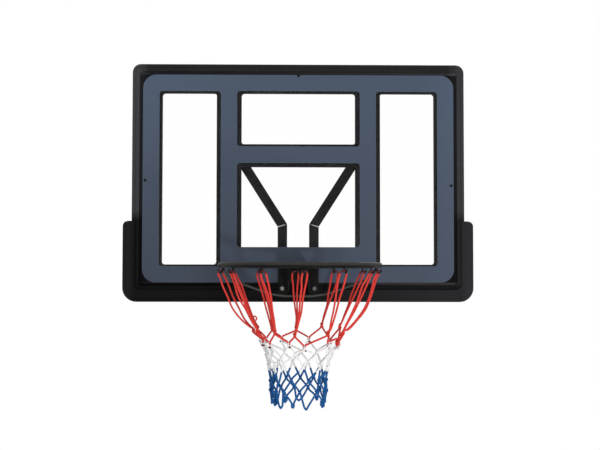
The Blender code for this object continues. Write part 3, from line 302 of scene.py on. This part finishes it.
def frame_painted_light_and_marks(place):
    """How pale the frame's black is painted, as light and shade, how hidden in a recess it is, and where
    its border's moulding line runs.

    Its sides are painted paler above the bumper, most at the top left, and darker below, most at the left.
    Its lower border is painted darkest at the left and paler at the right, and near black at its foot by
    the bumper.
    The recess floor beside the sheet and the moulding line's groove are painted darker, as shade,
    and the recess past the sheet's top and foot is painted paler towards the right, as light.
    """
    across, depth, height = place.finish.split(place)
    aside = abs(across)
    level = abs(height - FRAME_MIDDLE_HEIGHT)
    to_right = across.rise(-0.25, 0.40)
    inset = (FRAME_HALF_WIDTH - aside).at_most(FRAME_HALF_HEIGHT - level)
    on_front = 1 - depth.rise(FRAME_FRONT + 0.0005, FRAME_FRONT + 0.0015)
    line = (1 - abs(inset - MOULDING_LINE_INSET).rise(0.0004, 0.0013)) * on_front
    hidden = depth.rise(SEAT_FLOOR - 0.0013, SEAT_FLOOR - 0.0003) * (1 - depth.rise(-0.0060, -0.0010))
    above_bumper = height.rise(0.178, 0.210)
    # Painted light and shade on the sides: paler above the bumper, most at the top left, and darker below,
    # most at the left.
    painted_side_light = 1.6 * above_bumper * (1 + 0.4 * height.rise(0.30, 0.62) * across.rise(0, -0.4))
    side = aside.rise(0.470, 0.505) * (1 - depth.rise(-0.026, -0.016))
    sides = 1 + side * (painted_side_light - (1 - above_bumper) * (0.87 - 0.6 * to_right))
    # Painted shade on the lower border, darkest at the left; painted light makes it paler at the right.
    low = 1 - height.rise(-0.0185, -0.0200) * (0.9 - 1.2 * to_right)
    # Painted shade: near black at the frame's foot, next to the bumper.
    painted_shade_by_bumper = height.rise(-0.031, -0.019).at_least(0.05)
    past_sheet = level.rise(SHEET_HALF_HEIGHT - 0.0015, SHEET_HALF_HEIGHT + 0.0005)
    # Painted shade darkens the recess floor beside the sheet; past the sheet's top and foot it is painted
    # paler towards the right, as light.
    recess = 1 - hidden * (0.6 - past_sheet * (0.6 + 1.1 * to_right))
    # The moulding line's groove is painted darker, as shade.
    return sides * low * painted_shade_by_bumper * recess * (1 - 0.45 * line), hidden, line


def bumper_painted_light(place):
    """How pale the bumper's black is painted, as light: most at the right, and on its outer sides. Nothing
    is recessed.
    """
    across, _, _ = place.finish.split(place)
    return 0.25 + 1.6 * abs(across).rise(0.510, 0.530) + 2.7 * across.rise(-0.10, 0.45), 0, 0


def moulded_black(name, base, worn, marks, roughness, grain, sheen):
    """Injection-moulded black plastic: fine grain, faint flow marks, and paler edges.

    marks takes a place, and gives how pale it is painted, as light and shade, how hidden and how close to a
    moulding line it is.
    """
    finish = Finish(name)
    place = finish.place()
    flow = finish.speckle(finish.stretched(place, (1, 1, 0.35)), 11, 3)
    mottle = finish.speckle(place, 160, 2)
    skin = finish.speckle(place, grain, 2)
    scuff = finish.speckle(finish.stretched(place, (1, 1, 4)), 70, 4, 0.7).rise(0.55, 0.75)
    rubbed = finish.edges(0.0012) * (0.25 + 0.75 * scuff)
    patches = (0.45 * flow + 0.55 * mottle).rise(0.3, 0.7)
    tone = 0.82 + 0.36 * patches
    gloss = roughness - 0.10 + 0.22 * patches
    relief = finish.bump(skin, 0.00009, finish.bump(flow, 0.0006, finish.softened(0.0008)))
    # pale is painted light and shade.
    pale, hidden, line = marks(place)
    rubbed = rubbed * (1 - 0.8 * hidden)
    colour = finish.shade(finish.blend(rubbed, base, worn), tone * pale)
    gloss = gloss + (0.95 - gloss) * hidden - 0.08 * rubbed
    relief = finish.bump(1 - line, 0.0004, relief)
    return finish.surface(colour, gloss.within(0.05, 1), relief, Specular_IOR_Level=sheen)


def frame_plastic():
    base, worn = (0.0182, 0.0174, 0.0188), (0.048, 0.047, 0.049)
    return moulded_black("frame_plastic", base, worn, frame_painted_light_and_marks, roughness=0.52, grain=1100, sheen=0.08)


def bumper_plastic():
    base, worn = (0.0050, 0.0048, 0.0056), (0.030, 0.030, 0.032)
    return moulded_black("bumper_plastic", base, worn, bumper_painted_light, roughness=0.60, grain=700, sheen=0.10)


def powder_coat(name, sheen, paleness, painted_top_light=0.0, painted_shade_above_low_run=False):
    """Black powder coat: orange-peel skin with a satin sheen, greyer on the edges.

    paleness scales its colour. What faces up can be painted paler, as light from above, leaving the
    underside dark as painted shade, and all but a rod's lowest run can be painted darker, as shade.
    """
    finish = Finish(name)
    place = finish.place()
    peel = finish.speckle(place, 620, 1)
    dots = finish.cells(place, 1500).rise(0.1, 0.5)
    cloud = finish.speckle(place, 30, 3)
    rubbed = finish.edges(0.0008) * finish.speckle(place, 240, 3).rise(0.42, 0.66)
    paint = finish.blend(rubbed, (0.0105, 0.0098, 0.0092), (0.075, 0.072, 0.068))
    colour = finish.shade(paint, paleness * (0.8 + 0.4 * cloud))
    if painted_shade_above_low_run:
        # Painted shade: darker above the rod's lowest run.
        _, _, height = finish.split(place)
        colour = finish.shade(colour, 1 - 0.8 * height.rise(-0.045, -0.015))
    if painted_top_light:
        # Painted light from above: paler on what faces up, with the underside left dark as painted shade.
        _, _, upward = finish.split(finish.facing())
        painted_top_light_share = painted_top_light * upward.rise(-0.40, 0.30) * (0.7 + 0.6 * cloud)
        colour = finish.blend(painted_top_light_share.within(0, 1), colour, (0.105, 0.102, 0.100))
    gloss = 0.34 + 0.16 * cloud + 0.05 * dots
    relief = finish.bump(dots, 0.00003, finish.bump(peel, 0.00016, finish.softened(0.0007)))
    return finish.surface(colour, gloss, relief, Specular_IOR_Level=sheen)


def bright_zinc():
    """Bright zinc plate: pale metal with faint straw and blue clouds, dents, and edges painted darker, as
    shade.

    It is painted darker at the right, as shade.
    """
    finish = Finish("bright_zinc")
    place = finish.place()
    cloud = finish.speckle(place, 170, 2)
    dents = finish.cells(place, 900)
    scratch = finish.speckle(finish.stretched(place, (1, 1, 12)), 900, 2)
    tint = finish.blend(cloud.rise(0.35, 0.65), (0.21, 0.215, 0.23), (0.25, 0.237, 0.20))
    # Painted shade: darker at the edges, unevenly.
    painted_edge_shade = finish.edges(0.0014) * (0.4 + 0.6 * cloud)
    across, _, _ = finish.split(place)
    # Painted shade: darker at the right.
    painted_right_shade = 1 - 0.45 * across.rise(0.02, 0.04)
    colour = finish.shade(tint, (0.85 + 0.2 * dents.within(0, 1)) * (1 - 0.7 * painted_edge_shade) * painted_right_shade)
    gloss = 0.24 + 0.22 * scratch
    relief = finish.bump(dents, 0.00006, finish.bump(scratch, 0.00004, finish.softened(0.0005)))
    return finish.surface(colour, gloss, relief, Metallic=1.0)


def black_screw():
    """Blackened steel: near-black metal whose edges show brown-grey where a driver has rubbed."""
    finish = Finish("black_screw")
    place = finish.place()
    cloud = finish.speckle(place, 500, 3)
    rubbed = finish.edges(0.0004) * cloud.rise(0.50, 0.62)
    colour = finish.blend(rubbed, (0.0050, 0.0055, 0.0070), (0.045, 0.040, 0.036))
    relief = finish.bump(cloud, 0.00005, finish.softened(0.0003))
    return finish.surface(colour, 0.45 + 0.25 * cloud, relief, Specular_IOR_Level=0.12)


def printed_sheet():
    """Clear plastic sheet with opaque blue-grey bands printed on it, which leave four clear windows."""
    finish = Finish("printed_sheet")
    place = finish.place()
    x, _, z = finish.split(place)

    def past_window(across, middle, half_width, foot, head):
        """How far outside a window with rounded corners a point is, in metres."""
        past_side = (abs(across - middle) - (half_width - WINDOW_CORNER)).at_least(0)
        past_end = (abs(z - (foot + head) / 2) - ((head - foot) / 2 - WINDOW_CORNER)).at_least(0)
        return (past_side * past_side + past_end * past_end) ** 0.5 - WINDOW_CORNER

    outside = past_window(abs(x), *SIDE_WINDOW)
    outside = outside.at_most(past_window(x, *UPPER_WINDOW))
    outside = outside.at_most(past_window(x, *LOWER_WINDOW))
    _, face_y, _ = finish.split(finish.facing())
    rim = 1 - abs(face_y).rise(0.2, 0.6)
    ink = outside.rise(-0.00012, 0.00012).at_least(rim * 0.55)
    wash = finish.speckle(place, 5, 3)
    dots = finish.speckle(place, 900, 1)
    smear = finish.speckle(finish.stretched(place, (1, 1, 0.3)), 16, 4, 0.6)
    # Painted light and shade: the print is paler at the top, the upper left and the right edge, darker at
    # the lower left, and its bands' colour pales towards the top.
    left, high = x.rise(-0.15, -0.48), z.rise(0.0, 0.62)
    low_left = x.rise(0.05, -0.18) * z.rise(0.40, 0.15)
    light = 0.95 - 0.10 * low_left + left * (0.24 * high - 0.04) + 0.07 * high + 0.16 * x.rise(0.38, 0.48)
    bands = finish.blend(z.rise(0.05, 0.62), (0.062, 0.082, 0.122), (0.071, 0.099, 0.150))
    bands = finish.shade(bands, (0.93 + 0.10 * wash + 0.05 * dots) * light)
    # The sheet's edges are painted paler: partly the cut edge's own colour, partly a painted highlight.
    cut_edge_and_highlight = rim.at_least(0.16 * finish.edges(0.0012))
    colour = finish.blend(ink, (0.82, 0.86, 0.90), finish.blend(cut_edge_and_highlight, bands, (0.30, 0.33, 0.38)))
    haze = smear.rise(0.5, 0.8)
    alpha = 0.008 + 0.012 * haze + 0.98 * ink
    gloss = 0.13 + 0.12 * haze
    relief = finish.bump(finish.speckle(place, 9, 1), 0.0009)
    return finish.surface(colour, gloss, relief, Alpha=alpha.at_most(1), Specular_IOR_Level=0.22)


def braided_cord(name, light, dark, sheen, glow=0.0):
    """Braided cord: eight strands crossing over and under, with fine yarn lines.

    Its top, where it runs over the hooks, is painted near black, and the grooves between its strands are
    painted darker: both painted shade.
    """
    finish = Finish(name)
    around, along, _ = finish.split(finish.node("ShaderNodeUVMap", {"uv_map": "cord"}))
    run = along * (pi / BRAID_PITCH)
    wind = around * (4 * pi)
    right_hand = abs((run + wind).sine())
    left_hand = abs((run - wind).sine())
    over = (run.sine() * wind.sine()).rise(-0.25, 0.25)
    strands = right_hand * over + left_hand * (1 - over)
    fibres = finish.node("ShaderNodeCombineXYZ", sockets={0: around * 26, 1: along * 500, 2: 0.0})
    yarn = finish.speckle(fibres, 1, 2)
    place = finish.place()
    fade = finish.speckle(place, 45, 3)
    # Painted shade: darker in the grooves between the strands; fade and yarn vary the tone.
    tone = (0.30 * fade + 0.50 * strands + 0.20 * yarn).rise(0.10, 0.75)
    _, _, height = finish.split(place)
    # Painted shade: near black at the top, where the cord runs over the hooks.
    rubbed = height.rise(0.009, 0.015) * 0.90
    colour = finish.blend(rubbed, finish.blend(tone, dark, light), (0.030, 0.012, 0.012))
    relief = finish.bump(yarn, 0.00005, finish.bump(strands, 0.00018))
    return finish.surface(
        colour, 0.62 + 0.25 * yarn, relief, Specular_IOR_Level=sheen,
        Subsurface_Weight=glow, Subsurface_Radius=(1, 1, 1), Subsurface_Scale=0.004,
    )


# Camera, lights and floor

def add_camera():
    """From in front, a little to the left and low, tilted up slightly, as the photograph was taken."""
    bpy.ops.object.camera_add(location=(-0.0495, -3.501, 0.0143))
    camera = bpy.context.object
    pan, tilt, roll = radians(-0.9035), radians(92.4685), radians(0.07)
    turn = Matrix.Rotation(pan, 3, "Z") @ Matrix.Rotation(tilt, 3, "X")
    camera.rotation_euler = (turn @ Matrix.Rotation(roll, 3, "Z")).to_euler()
    camera.data.lens = 66.43
    camera.data.sensor_width = 36
    bpy.context.scene.camera = camera


def add_lamp(name, place, size, level):
    """A soft square lamp aimed at the rim. level is what it adds to a white face turned to it."""
    aim = Vector((0, -0.1, 0.15)) - Vector(place)
    turn = aim.to_track_quat("-Z", "Y").to_euler()
    bpy.ops.object.light_add(type="AREA", location=place, rotation=turn)
    lamp = bpy.context.object
    lamp.name = name
    lamp.data.size = size
    lamp.data.energy = level * pi ** 2 * aim.length_squared


def seen_directly(finish):
    """1 for the camera and for what gloss and clear sheet show, 0 for the light that falls on things."""
    path = finish.node("ShaderNodeLightPath").socket.node.outputs
    names = ("Is Camera Ray", "Is Glossy Ray", "Is Transmission Ray")
    camera, gloss, clear = (Wire(finish, path[name]) for name in names)
    return camera.at_least(gloss).at_least(clear)


def light_world():
    """A white backdrop, whose light on things is half as strong as it looks."""
    world = bpy.data.worlds.new("studio")
    bpy.context.scene.world = world
    world.use_nodes = True
    finish = Finish("studio", world.node_tree)
    strength = 0.50 + 0.50 * seen_directly(finish)
    sky = finish.node("ShaderNodeBackground", sockets={"Color": (1, 1, 1, 1), "Strength": strength})
    finish.node("ShaderNodeOutputWorld", sockets={"Surface": sky})


def add_floor():
    """The court, white with a soft shadow, which fades into the backdrop far off."""
    bpy.ops.mesh.primitive_plane_add(size=90, location=(0, 0, RING_CENTRE.z - RING_HEIGHT_OVER_COURT))
    floor = bpy.context.object
    floor.name = "studio_floor"
    finish = Finish("studio_floor")
    x, y, _ = finish.split(finish.place())
    far = ((x * x + y * y) ** 0.5).rise(4.5, 9.0)
    paint = finish.node("ShaderNodeBsdfDiffuse", sockets={"Color": (0.93, 0.93, 0.93, 1)})
    white = finish.node("ShaderNodeEmission", sockets={"Color": (1, 1, 1, 1), "Strength": 1.0})
    factor = seen_directly(finish) * (0.35 + 0.65 * far)
    surface = finish.node("ShaderNodeMixShader", sockets={0: factor, 1: paint, 2: white})
    finish.node("ShaderNodeOutputMaterial", sockets={"Surface": surface})
    floor.data.materials.append(finish.material)


# The net

def level_ways(turn):
    """The level directions out from the ring's axis and round it, at this turn."""
    return Vector((cos(turn), sin(turn), 0)), Vector((-sin(turn), cos(turn), 0))


def hook_turn(index):
    return HOOK_START + 2 * pi * index / HOOK_COUNT - pi / 2


def knot_point(row, index):
    """The middle of a knot, with the direction out from the net's axis and the direction round it."""
    first, last = KNOT_ROWS[0][0], KNOT_ROWS[-1][0]
    drop, radius = KNOT_ROWS[row]
    twist = NET_TWIST * sqrt((drop - first) / (last - first))
    out, sideways = level_ways(2 * pi * (index + 0.5 * (row % 2)) / HOOK_COUNT - pi / 2 - twist)
    right, up = KNOT_SHIFTS[row][index % HOOK_COUNT]
    return RING_CENTRE + out * radius + Vector((right, 0, up - 1000 * drop)) / 1000, out, sideways


class CordMesh:
    """Lengths of round cord in one mesh, with a UV map that runs round and along each cord."""

    SIDES = 10

    def __init__(self, name, slot, radius, finish):
        self.name = name
        self.slot = slot
        self.radius = radius
        self.finish = finish
        self.mesh = bmesh.new()
        self.uv = self.mesh.loops.layers.uv.new("cord")

    def cord(self, points, radius=None):
        """Sweeps a round cord along the points, with rounded ends."""
        radius = radius or self.radius
        steps = [(b - a).normalized() for a, b in zip(points, points[1:])]
        tangents = [steps[0]] + [(a + b).normalized() for a, b in zip(steps, steps[1:])] + [steps[-1]]
        side = tangents[0].orthogonal().normalized()
        rings, lengths, length = [], [], 0.0
        turns = [2 * pi * step / self.SIDES for step in range(self.SIDES)]
        for index, (point, tangent) in enumerate(zip(points, tangents)):
            if index:
                length += (point - points[index - 1]).length
            side = (side - tangent * side.dot(tangent)).normalized()
            other = tangent.cross(side)
            around = [point + (side * cos(t) + other * sin(t)) * radius for t in turns]
            rings.append([self.mesh.verts.new(place) for place in around])
            lengths.append(length)
        for (low, low_v), (high, high_v) in zip(zip(rings, lengths), zip(rings[1:], lengths[1:])):
            for step in range(self.SIDES):
                after = (step + 1) % self.SIDES
                face = self.mesh.faces.new((low[step], low[after], high[after], high[step]))
                face.smooth = True
                corners = ((step, low_v), (step + 1, low_v), (step + 1, high_v), (step, high_v))
                for loop, (u, v) in zip(face.loops, corners):
                    loop[self.uv].uv = (u / self.SIDES, v)
        for ring, tip, away, v in (
            (rings[0][::-1], points[0], -tangents[0], lengths[0]),
            (rings[-1], points[-1], tangents[-1], lengths[-1]),
        ):
            nose = self.mesh.verts.new(tip + away * radius * 0.55)
            for step in range(self.SIDES):
                face = self.mesh.faces.new((ring[step], ring[(step + 1) % self.SIDES], nose))
                face.smooth = True
                for loop, u in zip(face.loops, (step, step + 1, step + 0.5)):
                    loop[self.uv].uv = (u / self.SIDES, v)

    def lashing(self, top, bottom, half_width, half_depth, turns, across, radius=None):
        """Turns of cord wound tight round the cords that run from top to bottom."""
        down = (bottom - top).normalized()
        across = (across - down * across.dot(down)).normalized()
        depth = down.cross(across)
        count = round(turns * 14)
        points = []
        for step in range(count + 1):
            t = 2 * pi * turns * step / count
            middle = top.lerp(bottom, step / count)
            points.append(middle + across * half_width * cos(t) + depth * half_depth * sin(t))
        self.cord(points, radius)

    def done(self, *replaced):
        data = bpy.data.meshes.new(self.name)
        self.mesh.to_mesh(data)
        self.mesh.free()
        data.materials.append(self.finish)
        piece = bpy.data.objects.new(self.name, data)
        bpy.context.collection.objects.link(piece)
        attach(piece, "root")
        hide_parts(*replaced)


def smooth_path(points, spacing=0.0035):
    """A smooth curve through the points, as evenly spaced points."""
    path = []
    ends = [points[0] * 2 - points[1]] + list(points) + [points[-1] * 2 - points[-2]]
    for before, start, end, after in zip(ends, ends[1:], ends[2:], ends[3:]):
        gap = (end - start).length
        count = max(2, round(gap / spacing))
        leave = (end - before) * (gap / max((end - before).length, 1e-6))
        arrive = (after - start) * (gap / max((after - start).length, 1e-6))
        for step in range(count):
            t = step / count
            path.append(
                start * (2 * t**3 - 3 * t**2 + 1) + leave * (t**3 - 2 * t**2 + t)
                + end * (3 * t**2 - 2 * t**3) + arrive * (t**3 - t**2)
            )
    path.append(points[-1])
    return path


def crossing(row, index, side, radius):
    """One cord's way down through a joint: in on one side, half a turn round the other, out opposite."""
    centre, out, sideways = knot_point(row, index)
    points = []
    for step in range(5):
        t = pi * step / 4
        level = Vector((0, 0, JOINT_HALF_HEIGHT * (1 - step / 2)))
        points.append(centre + level + (sideways * cos(t) + out * sin(t)) * side * radius * 1.02)
    return points


def below(row, index, side):
    """The joint below a knot on this side, as its row and index."""
    if row % 2 == 0:
        return row + 1, index - 1 if side < 0 else index
    return row + 1, index if side < 0 else index + 1


def strand(index, side):
    """Points up one side of the loop from the top joint to just under the hook."""
    out, sideways = level_ways(hook_turn(index))
    low = knot_point(0, index)[0]
    crown = RING_CENTRE + out * RING_RADIUS + Vector((0, 0, ARCH_HEIGHT))
    points = []
    for (share, width, bow), shift in zip(LOOP_SHAPE, LOOP_SHIFTS[index][0 if side > 0 else 1]):
        middle = low.lerp(crown, share) + out * (LOOP_BOW * bow)
        points.append(middle + sideways * side * LOOP_HALF_WIDTH * width + Vector((shift / 1000, 0, 0)))
    return points


def over_hook(index):
    """The cord's stiff arch over the hook's wire, from its right side to its left."""
    out, sideways = level_ways(hook_turn(index))
    middle = RING_CENTRE + out * RING_RADIUS + Vector((0, 0, ARCH_HEIGHT))
    right, left = (shifts[-1] / 1000 for shifts in LOOP_SHIFTS[index])
    points = []
    for step in range(7):
        t = pi * step / 6
        lean = (right if cos(t) > 0 else left) * abs(cos(t))
        level = sideways * cos(t) * LOOP_HALF_WIDTH * 0.95 + Vector((lean, 0, 0))
        points.append(middle + level + Vector((0, 0, ARCH_RISE * sin(t) ** 0.6)))
    return points


def add_red_cord(cord, ties):
    """The top section: a cord up to each hook and back down, which ties whip to the white cords.

    One joint at the right is lashed, and a curl of cord has come loose at the left.
    """
    bend = cord.radius * 1.15

    def low_turn(index):
        """The turn at the bottom of a V, into which the white cord is looped."""
        centre, _, sideways = knot_point(1, index)
        shape = ((-1.0, 0.9), (-0.8, -0.35), (0, -0.9), (0.8, -0.35), (1.0, 0.9))
        return [centre + sideways * across * bend + Vector((0, 0, level * bend)) for across, level in shape]

    for index in range(HOOK_COUNT):
        start, end = low_turn(index - 1), low_turn(index)
        up = crossing(0, index, 1, cord.radius)[::-1]
        down = crossing(0, index, -1, cord.radius)
        loop = strand(index, 1) + over_hook(index) + strand(index, -1)[::-1]
        cord.cord(smooth_path(start[2:] + up + loop + down + end[:3]))
    for index in range(HOOK_COUNT):
        centre, _, sideways = knot_point(1, index)
        top = centre + Vector((0, 0, -TIE_DROP))
        ties.lashing(top, top + Vector((0, 0, -TIE_LENGTH)), 0.0046, 0.0036, 2.2, sideways)
    joint, _, sideways = knot_point(1, 2)
    top = joint + Vector((0.004, 0, 0.018))
    cord.lashing(top, joint, cord.radius * 2.1, cord.radius * 1.9, 3.5, sideways, cord.radius * 0.9)
    end = strand(8, -1)[1]
    curl = [(0, 0, 0), (0.006, -0.002, 0.002), (0.011, -0.003, -0.003), (0.009, -0.002, -0.010)]
    cord.cord(smooth_path([end + Vector(step) for step in curl], 0.002), cord.radius * 0.8)


def add_white_cords(cord, starts):
    """The middle section: a cord looped through the bottom of each red V, with a leg to either side."""
    reach, apart = cord.radius * 2.1, 0.0012
    shape = ((-1, 1, -0.0095), (-1, 1, -0.0040), (0, 0, 0.0010), (1, -1, -0.0040), (1, -1, -0.0095))
    for index in range(HOOK_COUNT):
        centre, out, sideways = knot_point(1, index)
        arch = []
        for side, away, level in shape:
            arch.append(centre + sideways * side * apart + out * (away * reach) + Vector((0, 0, level)))
        legs = {}
        for side in (-1, 1):
            row, place = 1, index
            points = []
            while row < 3:
                row, place = below(row, place, side)
                points += crossing(row, place, -side, cord.radius)
            points.append(starts[side, place % HOOK_COUNT])
            legs[side] = points
        cord.cord(smooth_path(legs[-1][::-1] + arch + legs[1]))


def add_blue_cords(cord, starts):
    """The bottom section: a cord from each pair of white ends down to a turn at the tip."""
    for index in range(HOOK_COUNT):
        tip, _, sideways = knot_point(6, index)
        close, spread = TIP_SHAPES[index]
        halves = {}
        for side in (1, -1):
            upper = index - 2 if side > 0 else index + 1
            points = [starts[side, upper % HOOK_COUNT]]
            row, place = 4, index - side
            points += crossing(row, place, -side, cord.radius)
            row, place = below(row, place, side)
            points += crossing(row, place, -side, cord.radius)
            points.append(tip - sideways * side * spread + Vector((0, 0, close)))
            points.append(tip - sideways * side * cord.radius * 1.05 + Vector((0, 0, TIP_FOOT)))
            halves[side] = points
        bottom = tip + Vector((0, 0, cord.radius * 0.2))
        cord.cord(smooth_path(halves[1] + [bottom] + halves[-1][::-1]))
        if close > LASHED_FROM:
            top = tip + Vector((0, 0, close))
            foot = tip + Vector((0, 0, TIP_FOOT))
            cord.lashing(top, foot, cord.radius * 1.9, cord.radius * 1.5, 3.2, sideways, cord.radius * 0.9)


def add_net():
    """The net in three sections of braided cord: red, white from the second row, blue below the fourth."""
    red_finish = braided_cord("red_cord", (0.84, 0.052, 0.036), (0.36, 0.010, 0.009), 0.35)
    white_finish = braided_cord("white_cord", (0.97, 0.97, 0.97), (0.91, 0.91, 0.92), 0.15, glow=1.0)
    blue_finish = braided_cord("blue_cord", (0.006, 0.125, 0.40), (0.001, 0.026, 0.095), 0.30)
    tie_finish = braided_cord("tie_cord", (0.115, 0.020, 0.018), (0.05, 0.008, 0.008), 0.3)
    red = CordMesh("net_cord_red", "red_cord", RED_RADIUS, red_finish)
    white = CordMesh("net_cord_white", "white_cord", WHITE_RADIUS, white_finish)
    blue = CordMesh("net_cord_blue", "blue_cord", BLUE_RADIUS, blue_finish)
    ties = CordMesh("net_ties", "red_cord", TIE_RADIUS, tie_finish)
    starts = {}
    for index in range(HOOK_COUNT):
        for side in (-1, 1):
            row, place = below(3, index, side)
            leave = crossing(3, index, -side, CORD_RADIUS)[-1]
            arrive = crossing(row, place, -side, CORD_RADIUS)[0]
            starts[side, index] = leave.lerp(arrive, COLOUR_STARTS[index][0 if side < 0 else 1])
    add_red_cord(red, ties)
    add_white_cords(white, starts)
    add_blue_cords(blue, starts)
    red.done("net_red")
    ties.done("net_red")
    white.done("net_white")
    blue.done("net_blue")


# The ring

def add_ring(finish):
    """The bar bent round into a smooth ring."""
    bpy.ops.object.select_all(action="DESELECT")
    place = RING_CENTRE + Vector((RING_RADIUS, 0, 0))
    bpy.ops.mesh.primitive_circle_add(
        vertices=24, radius=RING_BAR_RADIUS, location=place, rotation=(pi / 2, 0, 0)
    )
    ring = bpy.context.object
    ring.name = "ring_bar"
    bpy.ops.object.transform_apply(location=True, rotation=True, scale=True)
    bpy.ops.object.mode_set(mode="EDIT")
    bpy.ops.mesh.select_all(action="SELECT")
    bpy.ops.mesh.spin(steps=192, angle=2 * pi, center=RING_CENTRE, axis=(0, 0, 1))
    bpy.ops.mesh.select_all(action="SELECT")
    bpy.ops.mesh.remove_doubles(threshold=0.00005)
    bpy.ops.mesh.normals_make_consistent(inside=False)
    bpy.ops.object.mode_set(mode="OBJECT")
    bpy.ops.object.shade_smooth()
    ring.data.materials.append(finish)
    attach(ring, "root")
    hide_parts("rim_ring")


# The welds

def weld_bead(name, middle, size, start, sweep, pools):
    """A bead of weld laid on an arc about an upright line, nipped in between one pool and the next.

    size is how far it lies above the middle, its arc's radius, and its own radius.
    """
    height, reach, thickness = size
    centre = middle + Vector((0, 0, height))
    out, _ = level_ways(start)
    bpy.ops.object.select_all(action="DESELECT")
    bpy.ops.mesh.primitive_circle_add(
        vertices=8, radius=thickness, location=centre + out * reach, rotation=(pi / 2, 0, start)
    )
    bead = bpy.context.object
    bead.name = name
    bpy.ops.object.transform_apply(location=True, rotation=True, scale=True)
    bpy.ops.object.mode_set(mode="EDIT")
    bpy.ops.mesh.select_all(action="SELECT")
    bpy.ops.mesh.spin(steps=2 * pools, angle=-sweep, center=centre, axis=(0, 0, 1))
    bpy.ops.mesh.select_all(action="SELECT")
    bpy.ops.mesh.remove_doubles(threshold=0.00001)
    bpy.ops.mesh.fill_holes(sides=8)
    bpy.ops.mesh.select_all(action="SELECT")
    bpy.ops.mesh.normals_make_consistent(inside=False)
    bpy.ops.mesh.select_all(action="DESELECT")
    bpy.ops.object.mode_set(mode="OBJECT")
    slack, nip = 0.001, 0.28 * thickness
    for vertex in bead.data.vertices:
        way = vertex.co - centre
        turn = (atan2(way.y, way.x) - start + slack) % (2 * pi)
        vertex.select = round(turn / sweep * 2 * pools) % 2 == 0
    bpy.ops.object.mode_set(mode="EDIT")
    bpy.ops.transform.shrink_fatten(value=-nip)
    bpy.ops.object.mode_set(mode="OBJECT")
    bpy.ops.object.shade_smooth()
    return bead


def copied(piece, name, move):
    """A copy of a piece with its own mesh, moved to its own place."""
    twin = piece.copy()
    twin.data = piece.data.copy()
    twin.data.transform(move)
    twin.name = name
    bpy.context.collection.objects.link(twin)
    return twin


def turned(piece, name, turn):
    """A copy of a piece, turned about the ring's axis."""
    to_ring = Matrix.Translation(RING_CENTRE)
    return copied(piece, name, to_ring @ Matrix.Rotation(turn, 4, "Z") @ to_ring.inverted())


def add_welds(finish):
    """Beads above and below the ring at the bracket, one at each brace foot, and one round each hook."""
    start = pi / 2 - BRACKET_WELD_SWEEP / 2
    above = weld_bead("weld_bracket_above", RING_CENTRE, BRACKET_WELD, start, BRACKET_WELD_SWEEP, 12)
    under = copied(above, "weld_bracket_below", Matrix.Translation((0, 0, -2 * BRACKET_WELD[0])))

    start = pi / 2 - BRACE_FOOT_TURN - BRACE_WELD_SWEEP / 2
    right = weld_bead("weld_brace_right", RING_CENTRE, BRACE_WELD, start, BRACE_WELD_SWEEP, 4)
    left = turned(right, "weld_brace_left", 2 * BRACE_FOOT_TURN)

    out, _ = level_ways(hook_turn(0))
    root = RING_CENTRE + out * (RING_RADIUS - HOOK_BEND_RADIUS)
    collar = weld_bead("weld_hook_01", root, HOOK_WELD, 0, 2 * pi, 6)
    beads = [above, under, right, left, collar]
    for index in range(1, HOOK_COUNT):
        beads.append(turned(collar, f"weld_hook_{index + 1:02}", 2 * pi * index / HOOK_COUNT))
    for bead in beads:
        bead.data.materials.append(finish)
        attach(bead, "root")


# The scene

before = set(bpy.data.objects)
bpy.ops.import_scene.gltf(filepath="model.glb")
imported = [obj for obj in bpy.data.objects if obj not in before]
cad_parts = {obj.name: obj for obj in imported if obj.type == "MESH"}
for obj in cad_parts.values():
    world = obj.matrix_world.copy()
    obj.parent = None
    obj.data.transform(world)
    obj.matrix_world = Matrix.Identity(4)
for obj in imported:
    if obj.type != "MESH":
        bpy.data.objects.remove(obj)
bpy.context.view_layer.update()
scene = bpy.context.scene
scene.view_settings.view_transform = "Standard"

add_camera()
light_world()
add_lamp("lamp_low_right", (0.90, -2.5, -1.10), size=0.40, level=0.40)
add_lamp("lamp_high_left", (-1.4, -1.9, 2.1), size=1.4, level=0.09)
add_lamp("lamp_behind", (0.9, 2.2, 1.9), size=1.6, level=0.25)
add_floor()

# The ring is painted paler on what faces up, as light from above, with a dark underside as painted shade.
rim_paint = powder_coat("rim_paint", sheen=0.05, paleness=0.6, painted_top_light=0.42)
hook_paint = powder_coat("hook_paint", sheen=0.10, paleness=0.5)
bracket_paint = powder_coat("bracket_paint", sheen=0.10, paleness=0.55)
# The brace is painted far paler than the other paints, a painted highlight kept to its lowest run.
brace_paint = powder_coat("brace_paint", sheen=0.40, paleness=3.0, painted_shade_above_low_run=True)
hanger_paint = powder_coat("hanger_paint", sheen=0.05, paleness=0.5)
zinc = bright_zinc()
screws = black_screw()
finishes = {
    "board_frame": frame_plastic(),
    "clear_sheet": printed_sheet(),
    "edge_bumper": bumper_plastic(),
    "rim_ring": rim_paint,
    "rim_bracket": bracket_paint,
    "rim_brace": brace_paint,
    "hanger_left": hanger_paint,
    "hanger_right": hanger_paint,
}
for name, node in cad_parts.items():
    if name.startswith(("sheet_screw", "bumper_screw")):
        finish = screws
    elif name.startswith(("rim_bolt", "rim_washer", "rim_nut", "hanger_screw")):
        finish = zinc
    else:
        finish = finishes.get(name, hook_paint)
    for slot in node.material_slots:
        slot.material = finish

add_net()
add_ring(rim_paint)
add_welds(hook_paint)
